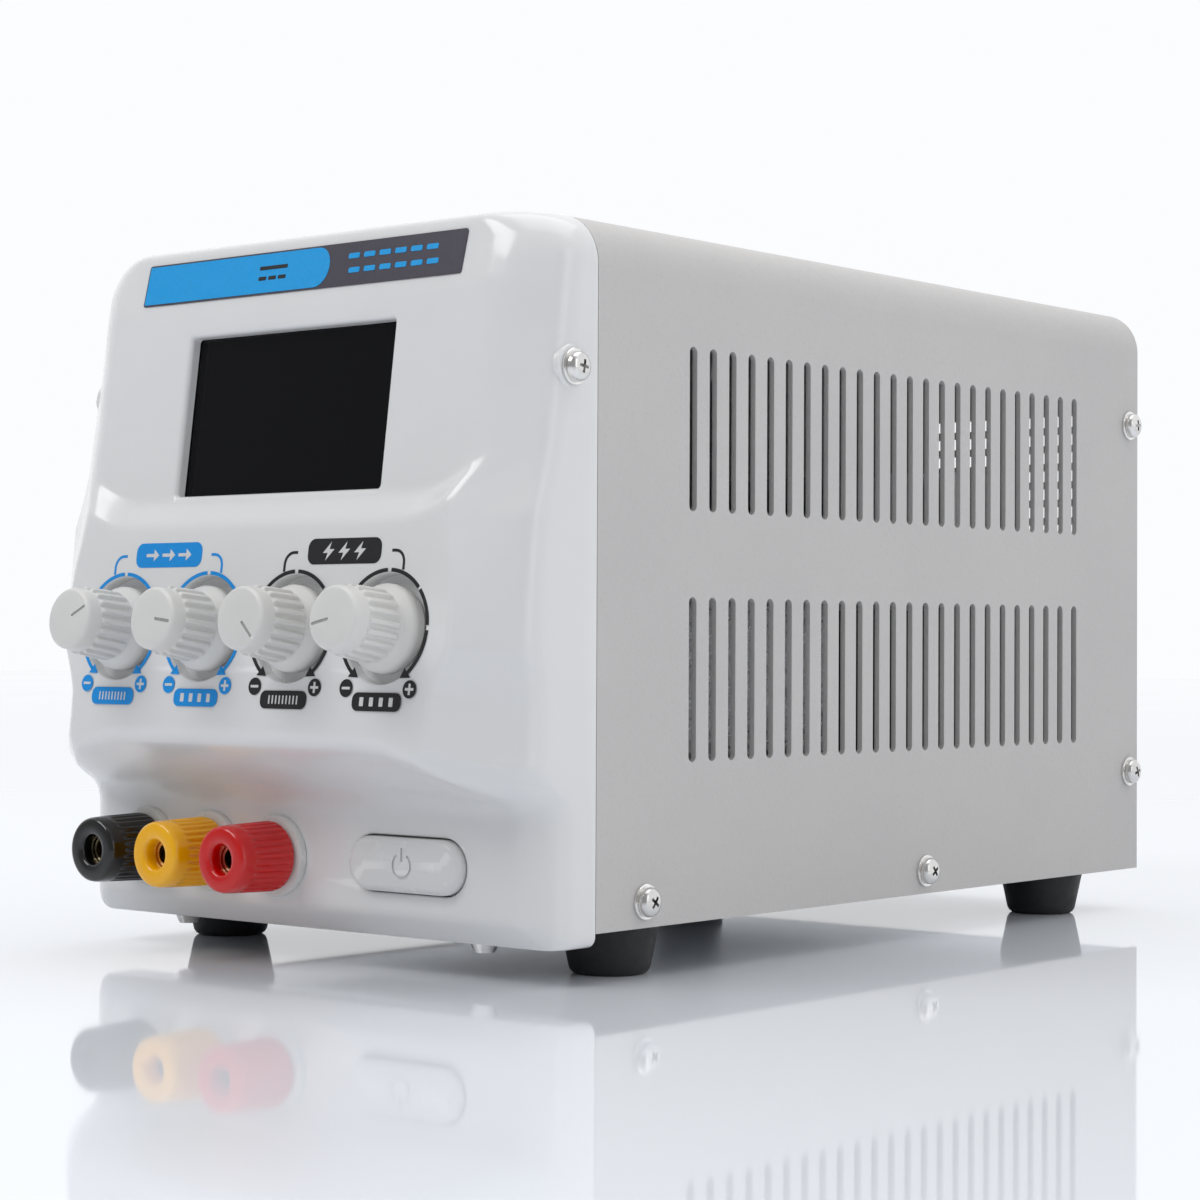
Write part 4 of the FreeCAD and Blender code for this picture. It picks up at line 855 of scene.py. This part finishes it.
# places on the panel from a knob's axis or from the middle between two
DISC_ASIDE, DISC_UP, DISC_RADIUS = 8.2 * MM, -11.4 * MM, 1.7 * MM
RANGE_UP = -13.9 * MM
GROUP_UP = 14.8             # millimetres
BRACKET_RADIUS, BRACKET_WIDTH = 2.6, 0.55


def plus_outline(size, thick):
    """Plus sign."""
    a, b = size / 2, thick / 2
    return [(b, b), (b, a), (-b, a), (-b, b), (-a, b), (-a, -b), (-b, -b), (-b, -a), (b, -a), (b, -b),
            (a, -b), (a, b)]


def shifted(outline, x, y):
    """Outline moved in its plane."""
    return [(a + x, b + y) for a, b in outline]


def knob_marks(work, icons, matrix, coarse):
    """Scale ring with arrow heads, minus and plus discs, and a pill with a fine or coarse sign."""
    for sign in (1, -1):
        for start, end in ((2.5, 46), (49, 87), (92, 140)):
            ring_piece(work, matrix, 11.4 * MM, 0.75 * MM, sign * start, sign * end, INK_LOW, INK_HIGH)
        tip = math.radians(150)
        base = math.radians(139)
        middle = 11.0 * MM
        head = [(sign * (middle + 1.25 * MM) * math.sin(base), (middle + 1.25 * MM) * math.cos(base)),
                (sign * (middle - 1.15 * MM) * math.sin(base), (middle - 1.15 * MM) * math.cos(base)),
                (sign * (middle - 0.2 * MM) * math.sin(tip), (middle - 0.2 * MM) * math.cos(tip))]
        extrude_outline(work, head if sign < 0 else head[::-1], matrix, INK_LOW, INK_HIGH)
        disc = [(sign * DISC_ASIDE + DISC_RADIUS * math.cos(2 * math.pi * n / 36),
                 DISC_UP + DISC_RADIUS * math.sin(2 * math.pi * n / 36)) for n in range(36)]
        extrude_outline(work, disc, matrix, INK_LOW, INK_HIGH)
    plus = shifted(plus_outline(2.1 * MM, 0.5 * MM), DISC_ASIDE, DISC_UP)
    minus = rounded_box(2.1 * MM, 0.5 * MM, 0.1 * MM, (-DISC_ASIDE, DISC_UP))
    for outline in (plus, minus):
        extrude_outline(icons, outline, matrix, 0, ICON_HIGH)
    pill = rounded_box(12.6 * MM, 3.5 * MM, 1.4 * MM, (0, RANGE_UP))
    extrude_outline(work, pill, matrix, INK_LOW, INK_HIGH)
    count, thick = (4, 1.0) if coarse else (9, 0.35)
    for number in range(count):
        place = (number - (count - 1) / 2) * (7.6 * MM / (count - 1))
        bar = rounded_box(thick * MM, 1.7 * MM, 0.15 * MM, (place, RANGE_UP))
        extrude_outline(icons, bar, matrix, 0, ICON_HIGH)


def bracket():
    """Corner bracket in millimetres: an upright, a quarter turn and a level arm, out and back."""
    outline = []
    for radius in (BRACKET_RADIUS, BRACKET_RADIUS - BRACKET_WIDTH):
        inset = BRACKET_RADIUS - radius
        leg = [(inset, -1.4)]
        for n in range(9):
            angle = math.pi / 2 * n / 8
            leg.append((inset + radius * (1 - math.cos(angle)), radius * math.sin(angle)))
        leg.append((3.6, radius))
        outline += leg[::-1] if inset else leg
    return outline


def group_marks(work, icons, matrix, bolt):
    """Pill between two knobs with corner brackets; a bolt stands for voltage, arrows for current."""
    pill = rounded_box(19.6 * MM, 5.0 * MM, 1.8 * MM, (0, GROUP_UP * MM))
    extrude_outline(work, pill, matrix, INK_LOW, INK_HIGH)
    for sign in (1, -1):
        shape = [(sign * (-16.2 + x) * MM, (12.4 + y) * MM) for x, y in bracket()]
        extrude_outline(work, shape if sign < 0 else shape[::-1], matrix, INK_LOW, INK_HIGH)
    if bolt:
        outline = [(0.6, 2.0), (-1.5, -0.35), (-0.2, -0.35), (-0.7, -2.0), (1.5, 0.45), (0.2, 0.45)]
        spacing, stretch = 4.2, 0.9
    else:
        outline = [(-1.9, 0.3), (-1.9, -0.3), (0.4, -0.3), (0.4, -1.1), (1.9, 0.0), (0.4, 1.1), (0.4, 0.3)]
        spacing, stretch = 4.8, 1.1
    for offset in (-spacing, 0.0, spacing):
        icon = metres([(x + offset, y * stretch + GROUP_UP) for x, y in outline])
        extrude_outline(icons, icon, matrix, 0, ICON_HIGH)


def make_marks():
    """Printed marks of the control panel: blue for the current pair, black for the voltage pair."""
    for ink, names, title in ((INK_BLUE, CONTROLS[:2], "current"), (INK_BLACK, CONTROLS[2:], "voltage")):
        work = bmesh.new()
        icons = bmesh.new()
        for name in names:
            knob_marks(work, icons, KNOB_FRAMES[name], name.endswith("coarse"))
        middle = KNOB_FRAMES[names[0]].copy()
        middle.translation = (KNOB_FRAMES[names[0]].translation + KNOB_FRAMES[names[1]].translation) / 2
        group_marks(work, icons, middle, title == "voltage")
        piece(new_object(f"print_{title}", work, ink), "chassis", "nameplate_film")
        piece(new_object(f"print_{title}_icons", icons, INK_WHITE), "chassis", "bezel_white")


# ------------------------------------------------------------------ nameplate
PLATE_LOW, PLATE_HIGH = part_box("nameplate")
PLATE_WIDE = PLATE_HIGH.x - PLATE_LOW.x
PLATE_TALL = 9.0 * MM
PLATE_EDGE = 0.35 * MM       # dark edge left around the blue field
FIELD_END = 3.6 * MM


def plate_bar(work, matrix, place, size, low, high):
    """Rounded bar on the plate, placed in millimetres from the middle of its left end."""
    length, tall, radius = (part * MM for part in size)
    centre = (-PLATE_WIDE / 2 + place[0] * MM, place[1] * MM)
    extrude_outline(work, rounded_box(length, tall, radius, centre), matrix, low, high)


def make_nameplate():
    """Dark plate with a blue field whose right end is round, and plain signs in place of words."""
    lean = math.atan(BROW_SLOPE)
    middle = (PLATE_LOW.z + PLATE_HIGH.z) / 2
    depth = CREASE_DEPTH - (middle - CREASE) * BROW_SLOPE
    matrix = axis_frame((0, SEAM - depth, middle), (0, -math.cos(lean), math.sin(lean)))
    base = bmesh.new()
    extrude_outline(base, rounded_box(PLATE_WIDE, PLATE_TALL, 0.5 * MM), matrix, -0.05 * MM, 0.25 * MM)
    piece(new_object("nameplate_base", base, SLOT_MATERIALS["nameplate_film"]), "chassis", "nameplate_film",
          "nameplate")
    left, right = -PLATE_WIDE / 2 + PLATE_EDGE, -PLATE_WIDE / 2 + 54.0 * MM
    high = PLATE_TALL / 2 - PLATE_EDGE
    outline = [(left, high), (left, -high)]
    for n in range(13):
        angle = -math.pi / 2 + math.pi * n / 12
        outline.append((right - FIELD_END + FIELD_END * math.cos(angle), high * math.sin(angle)))
    field = bmesh.new()
    extrude_outline(field, outline, matrix, 0.2 * MM, 0.32 * MM)
    piece(new_object("nameplate_field", field, PLATE_BLUE), "chassis", "nameplate_film")
    dark = bmesh.new()
    for x, y, length in ((38.0, 1.1, 8.0), (35.2, -1.1, 2.2), (38.0, -1.1, 2.2), (40.8, -1.1, 2.2)):
        plate_bar(dark, matrix, (x, y), (length, 0.8, 0.2), 0.3 * MM, 0.36 * MM)
    piece(new_object("nameplate_dc_sign", dark, INK_BLACK), "chassis", "nameplate_film")
    blue = bmesh.new()
    for row, y in enumerate((1.6, -1.4)):
        for number in range(6):
            place = (60.5 + 4.2 * number + 0.6 * row, y)
            plate_bar(blue, matrix, place, (3.0, 1.1, 0.3), 0.24 * MM, 0.32 * MM)
    piece(new_object("nameplate_bars", blue, PLATE_BLUE), "chassis", "nameplate_film")


# ------------------------------------------------------------------ screws and feet
def solid_boxes(node, count):
    """Lowest and highest corners of a node's separate solids, from its loose parts."""
    mesh = frame["nodes"][node].data
    work = bmesh.new()
    work.from_mesh(mesh)
    bmesh.ops.remove_doubles(work, verts=work.verts, dist=1e-6)
    seen = set()
    found = []
    for start in work.verts:
        if start in seen:
            continue
        stack, island = [start], []
        seen.add(start)
        while stack:
            vertex = stack.pop()
            island.append(vertex.co.copy())
            for edge in vertex.link_edges:
                other = edge.other_vert(vertex)
                if other not in seen:
                    seen.add(other)
                    stack.append(other)
        low = Vector([min(point[axis] for point in island) for axis in range(3)])
        high = Vector([max(point[axis] for point in island) for axis in range(3)])
        found.append((low, high))
    work.free()
    assert len(found) == count, (node, len(found))
    return found


WASHERS = solid_boxes("case_washers", 10)
# y and z of the screws on a side, the moulding's own screw last
SIDE_SCREWS = sorted({(round((low.y + high.y) / 2, 5), round((low.z + high.z) / 2, 5))
                      for low, high in WASHERS}, key=lambda place: -place[0])


WASHER_THICK = 0.6 * MM


def pan_screw(title, matrix):
    """Pan-head screw on a short shank, with a cross recess whose two bars narrow towards its bottom."""
    profile = [(0.0, -6.0), (1.2, -6.0), (1.5, -5.6), (1.5, 0.0), (2.75, 0.0), (2.9, 0.12), (2.9, 0.55),
               (2.82, 0.95), (2.6, 1.35), (2.2, 1.68), (1.6, 1.9), (0.8, 1.98), (0.0, 2.0)]
    work = bmesh.new()
    lathe(work, metres(profile), matrix, 40)
    screw = new_object(title, work, SLOT_MATERIALS["steel_bright"], 35.0)
    for half_x, half_y in ((1.65, 0.31), (0.31, 1.65)):
        bar = bmesh.new()
        rings = []
        for shrink, height in ((0.5, 0.6), (1.0, 3.0)):
            x = half_x * shrink if half_x > half_y else half_x
            y = half_y * shrink if half_y > half_x else half_y
            corners = metres([(x, y), (-x, y), (-x, -y), (x, -y)])
            rings.append(outline_ring(bar, matrix, corners, height * MM))
        skin(bar, rings)
        carve(screw, [new_object("recess", bar, INK_WHITE)])
    soften(screw.data, 35.0)
    return screw


def joined(items, title):
    """One object from several."""
    work = bmesh.new()
    for item in items:
        work.from_mesh(item.data)
        bpy.data.objects.remove(item)
    return new_object(title, work, SLOT_MATERIALS["steel_bright"], 35.0)


def make_side_screws():
    """Screws and washers on both sides, each turned a little differently."""
    washer = [(1.55, -0.6), (3.4, -0.6), (3.5, -0.5), (3.5, -0.15), (3.35, 0.0), (1.55, 0.0), (1.55, -0.6)]
    screws = []
    work = bmesh.new()
    for number, (low, high) in enumerate(WASHERS):
        sign = 1 if low.x > 0 else -1
        middle = (low + high) / 2
        seat = Vector((sign * (HALF + WASHER_THICK), middle.y, middle.z))
        turned = Matrix.Rotation(0.7 + 1.3 * number, 4, "Z")
        matrix = Matrix.Rotation(math.radians(90 * sign), 4, "Y") @ turned
        matrix.translation = seat
        screws.append(pan_screw("screw", matrix))
        lathe(work, metres(washer), matrix, 48)
    washers = new_object("side_washers", work, SLOT_MATERIALS["steel_bright"])
    piece(washers, "chassis", "steel_bright", "case_washers")
    piece(joined(screws, "side_screws"), "chassis", "steel_bright", "case_screws")


def make_feet():
    """Tapered rubber feet with rounded soles and a screw recess."""
    profile = [(1.6, 9.9), (9.5, 9.9), (9.7, 9.6), (9.62, 9.0), (8.15, 1.9), (7.95, 1.1), (7.5, 0.45),
               (6.9, 0.08), (6.5, 0.0), (4.3, 0.0), (4.0, 0.3), (4.0, 5.0), (1.6, 5.0), (1.6, 9.9)]
    for corner in ("front_left", "front_right", "rear_left", "rear_right"):
        low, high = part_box(f"foot_{corner}")
        matrix = Matrix.Translation(((low.x + high.x) / 2, (low.y + high.y) / 2, 0))
        work = bmesh.new()
        lathe(work, metres(profile), matrix, 72)
        foot = new_object(f"foot_{corner}_rubber", work, SLOT_MATERIALS["rubber_black"])
        piece(foot, "chassis", "rubber_black", f"foot_{corner}")


# ------------------------------------------------------------------ stage
def make_stage():
    """Pale glossy table; the pale background comes from the world made in make_lights."""
    work = bmesh.new()
    bmesh.ops.create_grid(work, x_segments=1, y_segments=1, size=4.0)
    nodes = Nodes("table")
    cloud = nodes.spread(nodes.noise(1.5, 3.0), 0.0, 1.0)
    table = nodes.set(Base_Color=nodes.mix(cloud, rgb(0.84, 0.87, 0.92), rgb(0.86, 0.89, 0.94)),
                      Roughness=nodes.spread(nodes.noise(4.0, 4.0), 0.035, 0.055), IOR=1.5)
    new_object("table", work, table)


def area_light(title, place, target, size, power):
    """White soft box aimed at a point; metres and watts."""
    data = bpy.data.lights.new(title, "AREA")
    data.shape = "RECTANGLE"
    data.size, data.size_y = size
    data.energy = power
    light = bpy.data.objects.new(title, data)
    scene.collection.objects.link(light)
    light.location = place
    light.rotation_euler = (Vector(target) - Vector(place)).to_track_quat("-Z", "Y").to_euler()


def make_lights():
    """High-key studio: pale surround that is darker in front of the supply, and two soft boxes."""
    world = bpy.data.worlds.new("studio")
    world.use_nodes = True
    tree = world.node_tree
    background = tree.nodes["Background"]
    direction = tree.nodes.new("ShaderNodeTexCoord").outputs["Generated"]
    apart = tree.nodes.new("ShaderNodeSeparateXYZ")
    tree.links.new(direction, apart.inputs["Vector"])
    shade = tree.nodes.new("ShaderNodeMapRange")
    shade.interpolation_type = "SMOOTHSTEP"
    tree.links.new(apart.outputs["Y"], shade.inputs["Value"])
    for name, number in (("From Min", -0.55), ("From Max", 0.25), ("To Min", 0.34), ("To Max", 1.0)):
        shade.inputs[name].default_value = number
    tree.links.new(shade.outputs["Result"], background.inputs["Strength"])
    background.inputs["Color"].default_value = rgb(0.97, 0.98, 1.0)
    scene.world = world
    middle = (0, 0, 0.07)
    area_light("front_box", (-0.35, -0.85, 1.0), middle, (0.8, 0.5), 5.5)
    area_light("top_box", (0.1, 0.1, 1.0), middle, (0.9, 0.7), 2.0)
    area_light("side_box", (1.3, -0.2, 0.5), middle, (0.4, 0.9), 1.0)


make_camera()
dress_frame()
make_bezel()
make_button()
make_knobs()
make_terminals()
make_marks()
make_nameplate()
make_side_screws()
make_feet()
make_stage()
make_lights()

scene.view_settings.view_transform = "Standard"
